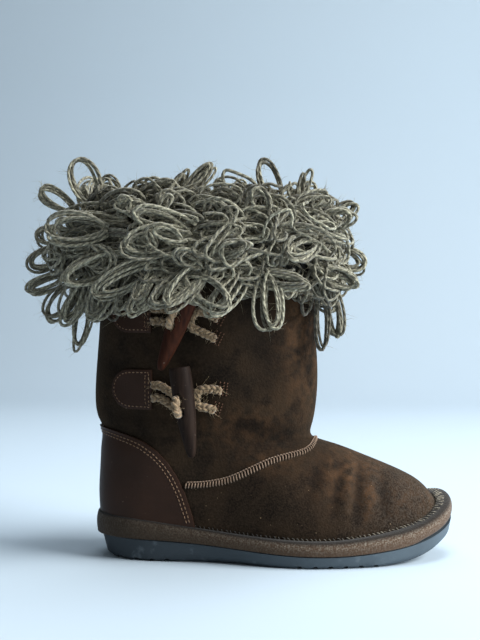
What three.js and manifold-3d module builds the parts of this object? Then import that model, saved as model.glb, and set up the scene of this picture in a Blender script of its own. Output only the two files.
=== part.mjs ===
// A slipper boot for the right foot: a suede upper on a wrapped wedge sole, with a leather heel counter,
// two horn toggles on rope, and a cuff of yarn loops round the collar.
// Millimetres. +X points to the toe, +Y to the inner side of the foot and +Z up.
// The origin lies on the floor, under the middle of the heel.
import * as THREE from "three";
import { mergeVertices } from "three/addons/utils/BufferGeometryUtils.js";
import Module from "manifold-3d";

const { lerp, smoothstep, degToRad } = THREE.MathUtils;
const wasm = await Module();
wasm.setup();

// Driving dimensions
const FIT_GAP = 0.3; // between pieces that touch
const WALL = 3; // suede and backing of the upper
const SOLE_BACK = -35;
const SOLE_FRONT = 230;
const COLLAR_HEIGHT = 250;

// Outsole: heel thickness, ball thickness, and the lift of the toe
const HEEL_THICKNESS = 16;
const BALL_THICKNESS = 8;
const BALL_X = 140; // where the sole is thinnest
const TOE_TOP_LIFT = 18;
const TOE_BOTTOM_LIFT = 17;
const TOE_SPRING_START = 165; // where the tread leaves the floor
const TOE_TWIST = 0.14; // rise of the toe to the inner side, per millimetre across
const ARCH_LIFT = 1.6;
const ARCH_START = 36;
const ARCH_END = 104;
const TREAD_BEVEL = 2.5;
const GROOVE_WIDTH = 3;
const GROOVE_DEPTH = 2;
const GROOVE_PITCH = 11;
const GROOVE_SLANT = 12; // degrees
const HEEL_GROOVES = { first: -16.5, count: 4 };
const FOREFOOT_GROOVES = { first: 108, count: 6 };

// Rand and insole
const RAND_SEAT = 0.7; // glue between the rand and the outsole
const RAND_HEIGHT = { heel: 15.5, ball: 9.8, toe: 14.5 };
const RAND_LEAN = 0.1; // rise of its top to the inner side of the toe, per millimetre across
const INSOLE_THICKNESS = 5;

// Overlays on the upper
const COUNTER_THICKNESS = 1.6;
const SEAM_THICKNESS = 1.3;
const SEAM_WIDTH = 5.5;
const TAB_THICKNESS = 2;

// Toggles and their cords
const TOGGLE_LENGTH = 63;
const TOGGLE_RADIUS = 8;
const TOGGLE_SIDES = 12;
const CORD_RADIUS = 3.1;
const CORD_SIDES = 8;
const TAB_CORD_STEPS = 30;
const LOOP_CORD_STEPS = 12;
const TOGGLE_HOLE_RADIUS = CORD_RADIUS + 0.6;
const TOGGLE_HOLE_SPACING = 9.6;
const HOLE_ABOVE = 5.6; // middle of the two holes, above the toggle's middle
const HOLE_BESIDE = -2.5; // the holes lie towards the heel
const TOGGLE_ROLL = -8; // degrees the holes face towards the heel
const CORD_SLACK = 1.2; // play of the cord behind the toggle

// Cuff: a thick knitted roll with rows of yarn loops
const ROLL_BOTTOM = 183;
const ROLL_TOP = 264;
const ROLL_THICKNESS = { back: 36, front: 23 };
const BUNCHES = { count: 8, swell: 0.1 }; // the roll swells where bunches of yarn lie on it
const YARN_RADIUS = 3.6; // a bunch of yarn
const YARN_SIDES = 4;
const YARN_STEPS = 8;

// How finely the forms are cut
const TURN_STEPS = 32;
const ACROSS = 150; // more than half the boot's width, for cuts that go right through

// Turns rows of numbers into rows with named columns.
const table = (columns, rows) =>
  rows.map((row) => Object.fromEntries(columns.map((name, i) => [name, row[i]])));

// Each section of the last is an outline from back to front, rounded over a length at heel and toe.
const SECTION_COLUMNS = [
  "backZ", "frontZ", "back", "front", "heel", "outer", "inner",
  "heelRound", "toeRound", "power", "swing", "hug",
];
const UPPER_SECTIONS = table(SECTION_COLUMNS, [
  [16.3, 22.6, -28, 218, 31, 44, 42, 36, 80, 2.3, 17, 1], // feather edge on the outsole
  [29, 35, -30.5, 219, 33.5, 46.5, 44.5, 38, 84, 2.2, 17, 1], // top of the rand
  [45, 51, -31.5, 208.5, 34.5, 47, 45, 40, 95, 2, 14, 0.6], // toe box
  [55, 59.5, -31, 195.5, 35, 46, 44.5, 42, 108, 1.9, 12, 0.3],
  [64, 67, -30.5, 179.5, 35.5, 45, 44, 45, 118, 1.8, 9, 0.1], // ball
  [72, 75, -30, 160, 36, 44, 43.5, 48, 118, 1.7, 6, 0],
  [79, 81.5, -29.8, 144, 36.5, 43, 43, 52, 108, 1.7, 3, 0], // instep
  [85, 85.5, -28.8, 127, 37.5, 42.5, 42.5, 58, 92, 1.85, 0, 0], // crease above the vamp
  [91, 89.5, -28.8, 124.5, 38.5, 42.5, 42.5, 64, 85, 2, 0, 0], // foot of the shaft
  [103, 100, -35.2, 127.5, 40.5, 43.5, 43.5, 72, 82, 2, 0, 0],
  [116, 116, -36.3, 130, 42.5, 45, 45, 80, 83, 2, 0, 0], // slack above the counter
  [142, 142, -34.8, 131, 44.5, 46, 46, 82, 83, 2, 0, 0],
  [172, 172, -31.8, 128.5, 45.5, 46, 46, 80, 80.3, 2, 0, 0],
  [210, 210, -32.5, 128, 46, 46.5, 46.5, 80, 80.5, 2, 0, 0],
  [COLLAR_HEIGHT, COLLAR_HEIGHT, -34, 129, 47, 47.5, 47.5, 81, 82, 2, 0, 0],
]);
const SOLE_COLUMNS = ["back", "front", "heel", "outer", "inner", "heelRound", "toeRound", "power", "swing"];
const [RAND_EDGE, OUTSOLE_TOP, OUTSOLE_EDGE, OUTSOLE_TREAD] = table(SOLE_COLUMNS, [
  [SOLE_BACK, SOLE_FRONT, 37.5, 53, 50, 42, 84, 2.2, 17],
  [SOLE_BACK + 4.5, SOLE_FRONT - 1, 36, 52, 49, 40, 84, 2.2, 17],
  [SOLE_BACK + 8, SOLE_FRONT - 2.5, 33.5, 50.5, 47.5, 38, 84, 2.2, 17],
  [SOLE_BACK + 11, SOLE_FRONT - 6, 30.5, 47.5, 44.5, 36, 82, 2.2, 17],
]);
const HEEL_TO_BALL = { start: 40, end: 130 }; // where a section widens from heel to ball
const SWING = { start: 95, end: 230 }; // where the toe swings to the inner side

const toeLean = (x, y) => smoothstep(x, TOE_SPRING_START, SOLE_FRONT) * y;

const soleTop = (x, y) =>
  lerp(HEEL_THICKNESS, BALL_THICKNESS, smoothstep(x, -10, BALL_X)) +
  TOE_TOP_LIFT * (Math.max(0, x - BALL_X) / (SOLE_FRONT - BALL_X)) ** 2 +
  TOE_TWIST * toeLean(x, y);

const soleBottom = (x, y) =>
  ARCH_LIFT * Math.sin(Math.PI * THREE.MathUtils.clamp((x - ARCH_START) / (ARCH_END - ARCH_START), 0, 1)) +
  TOE_BOTTOM_LIFT * (Math.max(0, x - TOE_SPRING_START) / (SOLE_FRONT - TOE_SPRING_START)) ** 2 +
  TOE_TWIST * toeLean(x, y);

const randHeight = (x, y) =>
  lerp(RAND_HEIGHT.heel, RAND_HEIGHT.ball, smoothstep(x, SOLE_BACK, BALL_X / 2)) +
  (RAND_HEIGHT.toe - RAND_HEIGHT.ball) * smoothstep(x, BALL_X, SOLE_FRONT) +
  RAND_LEAN * toeLean(x, y);

// A point on a section's outline. The turn runs from the heel (0) along the outer side to the toe (0.5),
// and back along the inner side.
function outlinePoint(section, turn) {
  const along = (1 - Math.cos(2 * Math.PI * turn)) / 2;
  const x = lerp(section.back, section.front, along);
  const side = turn < 0.5 ? -1 : 1;
  const heelShare = Math.min(1, (x - section.back) / section.heelRound);
  const toeShare = Math.min(1, (section.front - x) / section.toeRound);
  const heelArc = Math.sqrt(1 - (1 - heelShare) ** 2);
  const toeArc = (1 - (1 - toeShare) ** section.power) ** (1 / section.power);
  const widest = side < 0 ? section.outer : section.inner;
  const half = lerp(section.heel, widest, smoothstep(x, HEEL_TO_BALL.start, HEEL_TO_BALL.end));
  const centre = section.swing * smoothstep(x, SWING.start, SWING.end);
  return { x, y: centre + side * half * heelArc * toeArc, along };
}

// The section at a level of the upper, between the table's rows.
function sectionAt(level) {
  const last = UPPER_SECTIONS.length - 1;
  const lower = Math.min(Math.floor(level), last - 1);
  const [a, b, c, d] = [-1, 0, 1, 2].map((i) => UPPER_SECTIONS[THREE.MathUtils.clamp(lower + i, 0, last)]);
  const t = level - lower;
  const blend = (name) => {
    const rise = (c[name] - a[name]) / 2;
    const leave = (d[name] - b[name]) / 2;
    return b[name] + rise * t + (3 * (c[name] - b[name]) - 2 * rise - leave) * t * t +
      (2 * (b[name] - c[name]) + rise + leave) * t ** 3;
  };
  return Object.fromEntries(SECTION_COLUMNS.map((name) => [name, blend(name)]));
}

function skinPoint(level, turn) {
  const section = sectionAt(level);
  const { x, y, along } = outlinePoint(section, turn);
  const straight = lerp(soleTop(section.back, 0), soleTop(section.front, 0), along);
  const z = lerp(section.backZ, section.frontZ, along) + section.hug * (soleTop(x, y) - straight);
  return new THREE.Vector3(x, y, z);
}

// A point of the upper's outer face, moved out by an offset along the face's normal.
const TOP_LEVEL = UPPER_SECTIONS.length - 1;
function upperPoint(level, turn, offset) {
  const step = 0.003;
  const wrap = (t) => (t + 1) % 1;
  const around = skinPoint(level, wrap(turn + step)).sub(skinPoint(level, wrap(turn - step)));
  const upLevel = Math.min(level + 0.05, TOP_LEVEL);
  const downLevel = Math.max(level - 0.05, 0);
  const up = skinPoint(upLevel, turn).sub(skinPoint(downLevel, turn));
  const normal = around.cross(up);
  if (level === 0 || level === TOP_LEVEL) normal.z = 0; // the wall's ends stay level
  return skinPoint(level, turn).addScaledVector(normal.normalize(), offset);
}

// The level of the shaft at a height. From its foot upwards the shaft's sections lie nearly flat.
const SHAFT_FOOT = 8;
function shaftLevel(height) {
  let [low, high] = [SHAFT_FOOT, TOP_LEVEL];
  for (let i = 0; i < 30; i++) {
    const middle = (low + high) / 2;
    if (sectionAt(middle).frontZ < height) low = middle;
    else high = middle;
  }
  return (low + high) / 2;
}

// A point on the shaft's outer side at a place along the boot and a height, lifted off its face.
function onShaft(x, height, lift) {
  const level = shaftLevel(height);
  const { back, front } = sectionAt(level);
  const turn = Math.acos(1 - (2 * (x - back)) / (front - back)) / (2 * Math.PI);
  return upperPoint(level, turn, lift);
}

const turns = Array.from({ length: TURN_STEPS }, (_, i) => i / TURN_STEPS);
const levels = [...UPPER_SECTIONS.keys(), 0.5, SHAFT_FOOT + 0.5].sort((a, b) => a - b);

// A closed surface over rings of points. Open ends are capped straight across, from side to side.
function ringGeometry(rings, endless) {
  const count = rings[0].length;
  const positions = rings.flat().flatMap((p) => [p.x, p.y, p.z]);
  const faces = [];
  const quad = (a, b, c, d) => faces.push(a, b, c, a, c, d);
  const spans = endless ? rings.length : rings.length - 1;
  for (let r = 0; r < spans; r++) {
    const [here, next] = [r * count, ((r + 1) % rings.length) * count];
    for (let i = 0; i < count; i++) {
      const j = (i + 1) % count;
      quad(here + i, here + j, next + j, next + i);
    }
  }
  if (!endless) {
    const top = (rings.length - 1) * count;
    for (let i = 0; i < count / 2; i++) {
      const [a, b] = [i, i + 1];
      const [c, d] = [count - i - 1, (count - i) % count];
      quad(a, d, c, b);
      quad(top + a, top + b, top + c, top + d);
    }
  }
  const geometry = new THREE.BufferGeometry();
  geometry.setAttribute("position", new THREE.Float32BufferAttribute(positions, 3));
  return geometry.setIndex(faces);
}

// Solids for joining and cutting
function solidOf(geometry) {
  const bare = geometry.clone();
  bare.deleteAttribute("normal");
  bare.deleteAttribute("uv");
  const merged = mergeVertices(bare, 1e-3);
  const triVerts = new Uint32Array(merged.index.array);
  return new wasm.Manifold(
    new wasm.Mesh({ numProp: 3, vertProperties: merged.attributes.position.array, triVerts }),
  );
}

function geometryOf(solid) {
  const { vertProperties, triVerts } = solid.getMesh();
  const geometry = new THREE.BufferGeometry();
  geometry.setAttribute("position", new THREE.BufferAttribute(vertProperties, 3));
  return geometry.setIndex(new THREE.BufferAttribute(triVerts, 1));
}

// The upper's outer form, filled, moved out by an offset and carried straight down below its feather edge.
function filledForm(offset, usedLevels = levels) {
  const rings = usedLevels.map((level) => turns.map((turn) => upperPoint(level, turn, offset)));
  const foot = rings[0].map((p) => p.clone().setZ(p.z - HEEL_THICKNESS));
  return solidOf(ringGeometry([foot, ...rings], false));
}

// A flat shape in side view (X and Z), run across the boot between two places in Y.
function sideCut(shape, fromY, toY) {
  const depth = toY - fromY;
  const geometry = new THREE.ExtrudeGeometry(shape, { depth, bevelEnabled: false, curveSegments: 8 });
  geometry.rotateX(Math.PI / 2);
  geometry.translate(0, toY, 0);
  return solidOf(geometry);
}

// A panel that lies on the upper, cut between two forms of the upper's own shape.
function overlay(shape, thickness, fromY, toY) {
  const skin = filledForm(FIT_GAP + thickness).subtract(filledForm(FIT_GAP));
  return skin.intersect(sideCut(shape, fromY, toY));
}

function cordTube(points, radius, sides, steps) {
  const ring = Array.from({ length: sides }, (_, i) => {
    const angle = (2 * Math.PI * i) / sides;
    return new THREE.Vector2(radius * Math.cos(angle), radius * Math.sin(angle));
  });
  const extrudePath = new THREE.CatmullRomCurve3(points, false, "centripetal");
  return new THREE.ExtrudeGeometry(new THREE.Shape(ring), { steps, extrudePath, bevelEnabled: false });
}

// Sole
function makeOutsole() {
  const ring = (outline, height) => turns.map((turn) => {
    const { x, y } = outlinePoint(outline, turn);
    return new THREE.Vector3(x, y, height(x, y));
  });
  let sole = solidOf(ringGeometry([
    ring(OUTSOLE_TREAD, soleBottom),
    ring(OUTSOLE_EDGE, (x, y) => soleBottom(x, y) + TREAD_BEVEL),
    ring(OUTSOLE_TOP, soleTop),
  ], false));
  for (const { first, count } of [HEEL_GROOVES, FOREFOOT_GROOVES]) {
    for (let i = 0; i < count; i++) {
      const groove = new THREE.BoxGeometry(GROOVE_WIDTH, 2 * (SOLE_FRONT - SOLE_BACK), 2 * GROOVE_DEPTH);
      groove.rotateZ(degToRad(GROOVE_SLANT));
      const x = first + i * GROOVE_PITCH;
      groove.translate(x, 0, soleBottom(x, 0));
      sole = sole.subtract(solidOf(groove));
    }
  }
  return sole;
}

// The level at which the upper's face stands a given height over the sole's top.
function footLevel(turn, rise) {
  let [low, high] = [0, 2];
  for (let i = 0; i < 30; i++) {
    const middle = (low + high) / 2;
    const { x, y, z } = skinPoint(middle, turn);
    if (z - soleTop(x, y) < rise) low = middle;
    else high = middle;
  }
  return (low + high) / 2;
}

// The rand's cross-section: its reach from the upper to its outer edge, and its share of the height
const RAND_PROFILE = table(["reach", "height"], [
  [0, 0], [0.88, 0], [1, 0.36], [0.96, 0.68], [0.72, 0.94], [0.4, 1], [0, 1], [0, 0.75], [0, 0.5],
]);
function makeRand() {
  const rings = RAND_PROFILE.map(({ reach, height }) => turns.map((turn) => {
    const edge = outlinePoint(RAND_EDGE, turn);
    const rise = RAND_SEAT + height * randHeight(edge.x, edge.y);
    const foot = upperPoint(footLevel(turn, rise), turn, 1.5 * FIT_GAP);
    const x = lerp(foot.x, edge.x, reach);
    const y = lerp(foot.y, edge.y, reach);
    return new THREE.Vector3(x, y, soleTop(x, y) + rise);
  }));
  return solidOf(ringGeometry(rings, true));
}

// The insole is cut to the outsole's top, so its slab starts a little below it.
const BEDDING = 2;
function makeInsole(liftedOutsole) {
  const ring = (height) => turns.map((turn) => {
    const { x, y } = upperPoint(0, turn, 0);
    return new THREE.Vector3(x, y, soleTop(x, y) + FIT_GAP + height);
  });
  const slab = solidOf(ringGeometry([ring(-BEDDING), ring(INSOLE_THICKNESS)], false));
  return slab.intersect(filledForm(-WALL - FIT_GAP)).subtract(liftedOutsole);
}

// Upper
function makeUpper() {
  const wallRings = (offset) => levels.map((level) => turns.map((turn) => upperPoint(level, turn, offset)));
  return solidOf(ringGeometry([...wallRings(0), ...wallRings(-WALL).reverse()], true));
}

function makeHeelCounter() {
  const shape = new THREE.Shape();
  shape.moveTo(-60, 97);
  shape.lineTo(-30, 95);
  shape.quadraticCurveTo(-6, 91.5, 8, 85);
  shape.quadraticCurveTo(40, 68, 48, 0);
  shape.lineTo(-60, 0);
  return overlay(shape, COUNTER_THICKNESS, -ACROSS, ACROSS).subtract(sideCut(randShadow(), -ACROSS, ACROSS));
}

// What lies below the rand's top edge over the length of the counter, in side view.
const SHADOW = { from: -80, to: 80, step: 20, floor: -10 };
function randShadow() {
  const shape = new THREE.Shape();
  shape.moveTo(SHADOW.from, SHADOW.floor);
  for (let x = SHADOW.from; x <= SHADOW.to; x += SHADOW.step) {
    shape.lineTo(x, soleTop(x, 0) + randHeight(x, 0) + RAND_SEAT + 2 * FIT_GAP);
  }
  shape.lineTo(SHADOW.to, SHADOW.floor);
  return shape;
}

// The seam's line in side view, from the counter's edge to the crease over the instep
const SEAM_LINE = [
  [36.8, 54.8], [52, 55.8], [68, 59.3], [84, 66.3], [98, 72.6],
  [112, 76.3], [121, 78.4], [126, 81.5], [129, 86],
];
function makeVampSeam() {
  const line = new THREE.SplineCurve(SEAM_LINE.map(([x, z]) => new THREE.Vector2(x, z)));
  const spots = line.getPoints(10);
  const upperEdge = spots.map(({ x, y }) => new THREE.Vector2(x, y + SEAM_WIDTH / 2));
  const lowerEdge = spots.map(({ x, y }) => new THREE.Vector2(x, y - SEAM_WIDTH / 2));
  const shape = new THREE.Shape([...upperEdge, ...lowerEdge.reverse()]);
  return overlay(shape, SEAM_THICKNESS, -ACROSS, ACROSS);
}

// Toggles: each one's middle, its tilt and its loop's turn in degrees, how far forward the loop's lower end is sewn
// down, and its tab's straight edge and middle
const TOGGLES = table(["name", "x", "z", "tilt", "loopTurn", "loopEnd", "tabEdge", "tabZ"], [
  ["lower", 40.6, 110, 8, 0, 18, 14, 123],
  ["upper", 35.6, 167, -21, -17, 25, 14, 177],
]);
const TAB_SIZE = { width: 30.5, height: 28 };
function makeTab({ tabEdge, tabZ }) {
  const half = TAB_SIZE.height / 2;
  const straight = TAB_SIZE.width - half;
  const shape = new THREE.Shape();
  shape.moveTo(tabEdge, tabZ - half);
  shape.lineTo(tabEdge, tabZ + half);
  shape.lineTo(tabEdge - straight, tabZ + half);
  shape.absarc(tabEdge - straight, tabZ, half, Math.PI / 2, 1.5 * Math.PI, false);
  return overlay(shape, TAB_THICKNESS, -ACROSS, 0);
}

// The horn's outline: its radius as a share of the thickest, from the cut top to the tip
const HORN_PROFILE = table(["along", "radius"], [
  [0, 0], [0, 0.9], [0.02, 0.98], [0.2, 1], [0.45, 0.94],
  [0.65, 0.8], [0.82, 0.6], [0.93, 0.45], [0.985, 0.28], [1, 0],
]);
function hornGeometry() {
  const spots = HORN_PROFILE.map(({ along, radius }) =>
    new THREE.Vector2(radius * TOGGLE_RADIUS, (0.5 - along) * TOGGLE_LENGTH));
  return new THREE.LatheGeometry(spots.reverse(), TOGGLE_SIDES);
}

// The toggle hangs clear of the shaft by its cord's thickness.
const TOGGLE_LIFT = 2 * CORD_RADIUS + 4 * FIT_GAP + CORD_SLACK + TOGGLE_RADIUS;
function togglePlace({ x, z, tilt }) {
  const stance = new THREE.Euler(Math.PI / 2, degToRad(-tilt), 0, "YXZ");
  const upright = new THREE.Quaternion().setFromEuler(stance);
  const roll = new THREE.Quaternion().setFromAxisAngle(new THREE.Vector3(0, 1, 0), degToRad(TOGGLE_ROLL));
  const unscaled = new THREE.Vector3(1, 1, 1);
  return new THREE.Matrix4().compose(onShaft(x, z, TOGGLE_LIFT), upright.multiply(roll), unscaled);
}

const UPPER_HOLE = HOLE_ABOVE + TOGGLE_HOLE_SPACING / 2;
const LOWER_HOLE = HOLE_ABOVE - TOGGLE_HOLE_SPACING / 2;
function makeToggle(toggle) {
  let horn = solidOf(hornGeometry());
  const [radius, depth, sides] = [TOGGLE_HOLE_RADIUS, 4 * TOGGLE_RADIUS, CORD_SIDES + 2];
  for (const height of [UPPER_HOLE, LOWER_HOLE]) {
    const drill = new THREE.CylinderGeometry(radius, radius, depth, sides);
    drill.rotateX(Math.PI / 2);
    drill.translate(HOLE_BESIDE, height, 0);
    horn = horn.subtract(solidOf(drill));
  }
  return solidOf(geometryOf(horn).applyMatrix4(togglePlace(toggle)));
}

// A cord from the tab, behind the toggle, out through one hole, in through the other and back to the tab.
const CORD_REST = CORD_RADIUS + 2 * FIT_GAP; // the middle of a cord that lies on the shaft
const STRANDS = { upper: 3, lower: -5.7 }; // heights at the tab, from its middle
function makeTabCord(toggle) {
  const place = togglePlace(toggle);
  const inHorn = (across, along, out) =>
    new THREE.Vector3(HOLE_BESIDE + across, along, out).applyMatrix4(place);
  const start = toggle.tabEdge + 4 * FIT_GAP;
  const bend = TOGGLE_HOLE_RADIUS; // the cord turns round the rim of a hole
  const intoHole = [TOGGLE_ROLL, 35, 90].map(degToRad);
  const outOfHole = [30, 60, 90].map(degToRad);
  const strand = (height, hole, towardsOther) => [
    onShaft(start, toggle.tabZ + height, CORD_REST),
    onShaft(start + 2 * CORD_RADIUS, toggle.tabZ + height, CORD_REST),
    ...intoHole.map((a) => inHorn(bend * (Math.sin(a) - 1), hole, -TOGGLE_RADIUS - bend * Math.cos(a))),
    inHorn(0, hole, TOGGLE_RADIUS - 0.5),
    ...outOfHole.map((a) => {
      const along = hole + towardsOther * bend * (1 - Math.cos(a));
      return inHorn(0, along, TOGGLE_RADIUS + bend * Math.sin(a));
    }),
  ];
  const route = [...strand(STRANDS.upper, UPPER_HOLE, -1), ...strand(STRANDS.lower, LOWER_HOLE, 1).reverse()];
  return solidOf(cordTube(route, CORD_RADIUS, CORD_SIDES, TAB_CORD_STEPS));
}

// A loop sewn to the shaft in front of the toggle, with its bend behind the toggle's edge.
const LOOP_ROUTE = table(["forward", "up", "lift"], [
  [22.5, 13.2, 0], [14, 14.4, 0.5], [7.6, 13.2, 1.2], [5.5, 8, 1.5], [7, 2.8, 1.2], [12.5, 1.4, 0.5],
]);
const LOOP_END_UP = -0.5;
function makeLoopCord({ x, z, loopTurn, loopEnd }) {
  const lowerEnd = { forward: loopEnd, up: LOOP_END_UP, lift: 0 };
  const route = [...LOOP_ROUTE, lowerEnd].map(({ forward, up, lift }) => {
    const spot = new THREE.Vector2(forward, up).rotateAround(new THREE.Vector2(), degToRad(loopTurn));
    return onShaft(x + spot.x, z + spot.y, CORD_REST + lift);
  });
  return solidOf(cordTube(route, CORD_RADIUS, CORD_SIDES, LOOP_CORD_STEPS));
}

// Cuff: the bunches of yarn that stand out from the roll as loops, from their roots in it to their tips
const YARN_LOOPS = table(["rootX", "rootY", "rootZ", "tipX", "tipY", "tipZ", "width"], [
  // hanging
  [-33, -38, 194, -41, -40, 153, 12],
  [-42, -34, 198, -64, -34, 174, 19],
  [-28, -50, 204, -48, -46, 172, 17],
  [-6, -60, 208, -26, -58, 174, 16],
  [12, -62, 210, -6, -64, 178, 15],
  [64, -64, 212, 20, -84, 184, 20],
  [72, -62, 204, 122, -60, 197, 13],
  [98, -62, 204, 99, -72, 167, 17],
  [134, -20, 198, 133, -26, 150, 10],
  [138, -8, 200, 145, -14, 160, 12],
  [124, 32, 206, 142, 40, 178, 16],
  [86, 58, 206, 96, 68, 174, 18],
  [42, 64, 208, 54, 76, 174, 18],
  [6, 60, 206, -4, 72, 172, 18],
  [-28, 48, 206, -50, 50, 176, 18],
  // reaching out past the heel and the instep
  [-56, -6, 222, -85, -8, 213, 18],
  [-52, -10, 206, -82, -12, 195, 12],
  [-54, 14, 232, -86, 16, 238, 18],
  [126, -36, 208, 156, -30, 198, 15],
  [136, 12, 222, 162, 14, 214, 18],
  [130, -22, 240, 155, -26, 248, 13],
  [134, 6, 240, 157, 8, 258, 14],
  // lying on the roll
  [47, -68, 230, 2, -80, 222, 22],
  [-14, -60, 234, -56, -58, 236, 24],
  [48, 66, 236, 86, 76, 230, 22],
  // standing
  [-30, -28, 250, -42, -34, 288, 26],
  [-46, -26, 250, -71, -30, 270, 14],
  [30, -48, 250, 56, -42, 280, 12],
  [91, -56, 236, 91, -66, 262, 22],
  [103, -36, 250, 92, -36, 286, 16],
  [110, 40, 250, 124, 46, 280, 14],
  [60, 48, 250, 72, 56, 281, 18],
  [10, 46, 250, -6, 54, 277, 16],
  [-28, 30, 250, -38, 38, 284, 20],
]);

// The roll is cut away over the upper toggle, and the loops there hang in front of it.
const NOTCH = { back: -21, front: 67, flare: 8, top: 203 };

const rollThickness = (turn) =>
  lerp(ROLL_THICKNESS.back, ROLL_THICKNESS.front, (1 - Math.cos(2 * Math.PI * turn)) / 2);

// The path of one bunch of yarn: out of the roll, round, and back into it.
function yarnPath({ rootX, rootY, rootZ, tipX, tipY, tipZ, width }) {
  const root = new THREE.Vector3(rootX, rootY, rootZ);
  const ahead = new THREE.Vector3(tipX, tipY, tipZ).sub(root);
  const beside = new THREE.Vector3(-ahead.z, 0, ahead.x).normalize();
  return Array.from({ length: YARN_STEPS + 1 }, (_, k) => {
    const angle = (2 * Math.PI * k) / YARN_STEPS;
    const reach = (1 - Math.cos(angle)) / 2;
    return root.clone().addScaledVector(ahead, reach)
      .addScaledVector(beside, (width / 2) * Math.sin(angle) * lerp(0.7, 1, reach));
  });
}

// The roll's cross-section: shares of its height and thickness, and which way its bunches swell
const ROLL_PROFILE = table(["height", "reach", "swell"], [
  [0.1, 0, 0], [0, 0.45, 1], [0.15, 0.85, 1], [0.5, 1, -1],
  [0.8, 0.86, 1], [1, 0.45, 1], [0.98, 0.12, 0], [0.88, 0, 0],
]);
function makeCuff() {
  const rings = ROLL_PROFILE.map(({ height, reach, swell }) => {
    const z = lerp(ROLL_BOTTOM, ROLL_TOP, height);
    const level = shaftLevel(Math.min(z, COLLAR_HEIGHT - 1));
    return turns.map((turn) => {
      const bunch = 1 + BUNCHES.swell * swell * Math.sin(2 * Math.PI * BUNCHES.count * turn);
      return upperPoint(level, turn, FIT_GAP + reach * bunch * rollThickness(turn)).setZ(z);
    });
  });
  const notch = new THREE.Shape();
  notch.moveTo(NOTCH.back - NOTCH.flare, 0);
  notch.lineTo(NOTCH.back, NOTCH.top);
  notch.lineTo(NOTCH.front, NOTCH.top);
  notch.lineTo(NOTCH.front + NOTCH.flare, 0);
  let cuff = solidOf(ringGeometry(rings, true)).subtract(sideCut(notch, -ACROSS, 0));
  for (const loop of YARN_LOOPS) {
    cuff = cuff.add(solidOf(cordTube(yarnPath(loop), YARN_RADIUS, YARN_SIDES, YARN_STEPS)));
  }
  cuff = cuff.subtract(filledForm(FIT_GAP, levels.filter((level) => level >= SHAFT_FOOT)));
  return cuff.decompose().reduce((most, piece) => (piece.volume() > most.volume() ? piece : most));
}

// Materials
const material = (color, roughness) => new THREE.MeshStandardMaterial({ color, roughness });
const suede = material(0x3a2a1e, 0.95);
const wrappedSuede = material(0x5a4632, 0.95);
const smoothLeather = material(0x2e211c, 0.6);
const rubber = material(0x39424a, 0.75);
const fleece = material(0xb9a88f, 1);
const thread = material(0x9a8468, 0.8);
const horn = material(0x43302a, 0.4);
const rope = material(0xa68f6a, 0.95);
const yarn = material(0x84806f, 0.95);

const boot = new THREE.Group();
function addPiece(name, solid, finish) {
  const mesh = new THREE.Mesh(geometryOf(solid), finish);
  mesh.name = name;
  boot.add(mesh);
}

const outsole = makeOutsole();
const liftedOutsole = solidOf(geometryOf(outsole).translate(0, 0, FIT_GAP));
addPiece("outsole", outsole, rubber);
addPiece("rand", makeRand(), wrappedSuede);
addPiece("insole", makeInsole(liftedOutsole), fleece);
addPiece("upper", makeUpper(), suede);
addPiece("heel_counter", makeHeelCounter(), smoothLeather);
addPiece("vamp_seam", makeVampSeam(), thread);
for (const toggle of TOGGLES) {
  addPiece(`tab_${toggle.name}`, makeTab(toggle), smoothLeather);
  addPiece(`toggle_${toggle.name}`, makeToggle(toggle), horn);
  addPiece(`tab_cord_${toggle.name}`, makeTabCord(toggle), rope);
  addPiece(`loop_cord_${toggle.name}`, makeLoopCord(toggle), rope);
}
addPiece("cuff", makeCuff(), yarn);

export default boot;
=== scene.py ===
import math

import bpy
import numpy as np
from mathutils import Matrix, Vector
from mathutils.bvhtree import BVHTree


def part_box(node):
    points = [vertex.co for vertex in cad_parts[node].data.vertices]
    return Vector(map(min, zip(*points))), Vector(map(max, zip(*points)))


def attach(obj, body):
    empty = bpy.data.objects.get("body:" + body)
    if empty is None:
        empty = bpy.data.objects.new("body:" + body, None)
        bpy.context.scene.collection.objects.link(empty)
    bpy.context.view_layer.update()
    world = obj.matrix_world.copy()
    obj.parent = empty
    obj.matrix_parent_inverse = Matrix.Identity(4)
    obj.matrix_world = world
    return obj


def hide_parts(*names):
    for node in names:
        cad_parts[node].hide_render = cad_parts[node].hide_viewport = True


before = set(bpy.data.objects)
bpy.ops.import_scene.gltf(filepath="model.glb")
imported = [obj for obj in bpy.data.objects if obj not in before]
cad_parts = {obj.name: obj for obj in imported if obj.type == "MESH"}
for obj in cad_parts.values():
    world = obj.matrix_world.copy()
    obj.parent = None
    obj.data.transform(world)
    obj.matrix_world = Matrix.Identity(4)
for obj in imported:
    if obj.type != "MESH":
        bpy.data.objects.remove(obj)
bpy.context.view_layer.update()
MM = 0.001


# Outsole: one moulded wedge of slate-grey foam rubber, thick under the heel, thin under the ball and lifted
# at the toe, with slanted grooves across its tread. The rest of the boot is glued on top of it.
def take_up(piece):
    """Makes a piece the only one selected, and the active one."""
    bpy.ops.object.select_all(action="DESELECT")
    piece.select_set(True)
    bpy.context.view_layer.objects.active = piece


def copy_of(node, name):
    """A piece of its own with a node's mesh, its triangles joined into quads."""
    piece = bpy.data.objects.new(name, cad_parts[node].data.copy())
    bpy.context.collection.objects.link(piece)
    piece.data.materials.clear()
    take_up(piece)
    bpy.ops.object.mode_set(mode="EDIT")
    bpy.ops.mesh.select_all(action="SELECT")
    bpy.ops.mesh.remove_doubles(threshold=0.005 * MM)
    joint = math.radians(60)
    bpy.ops.mesh.tris_convert_to_quads(face_threshold=joint, shape_threshold=joint)
    bpy.ops.object.mode_set(mode="OBJECT")
    return piece


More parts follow.
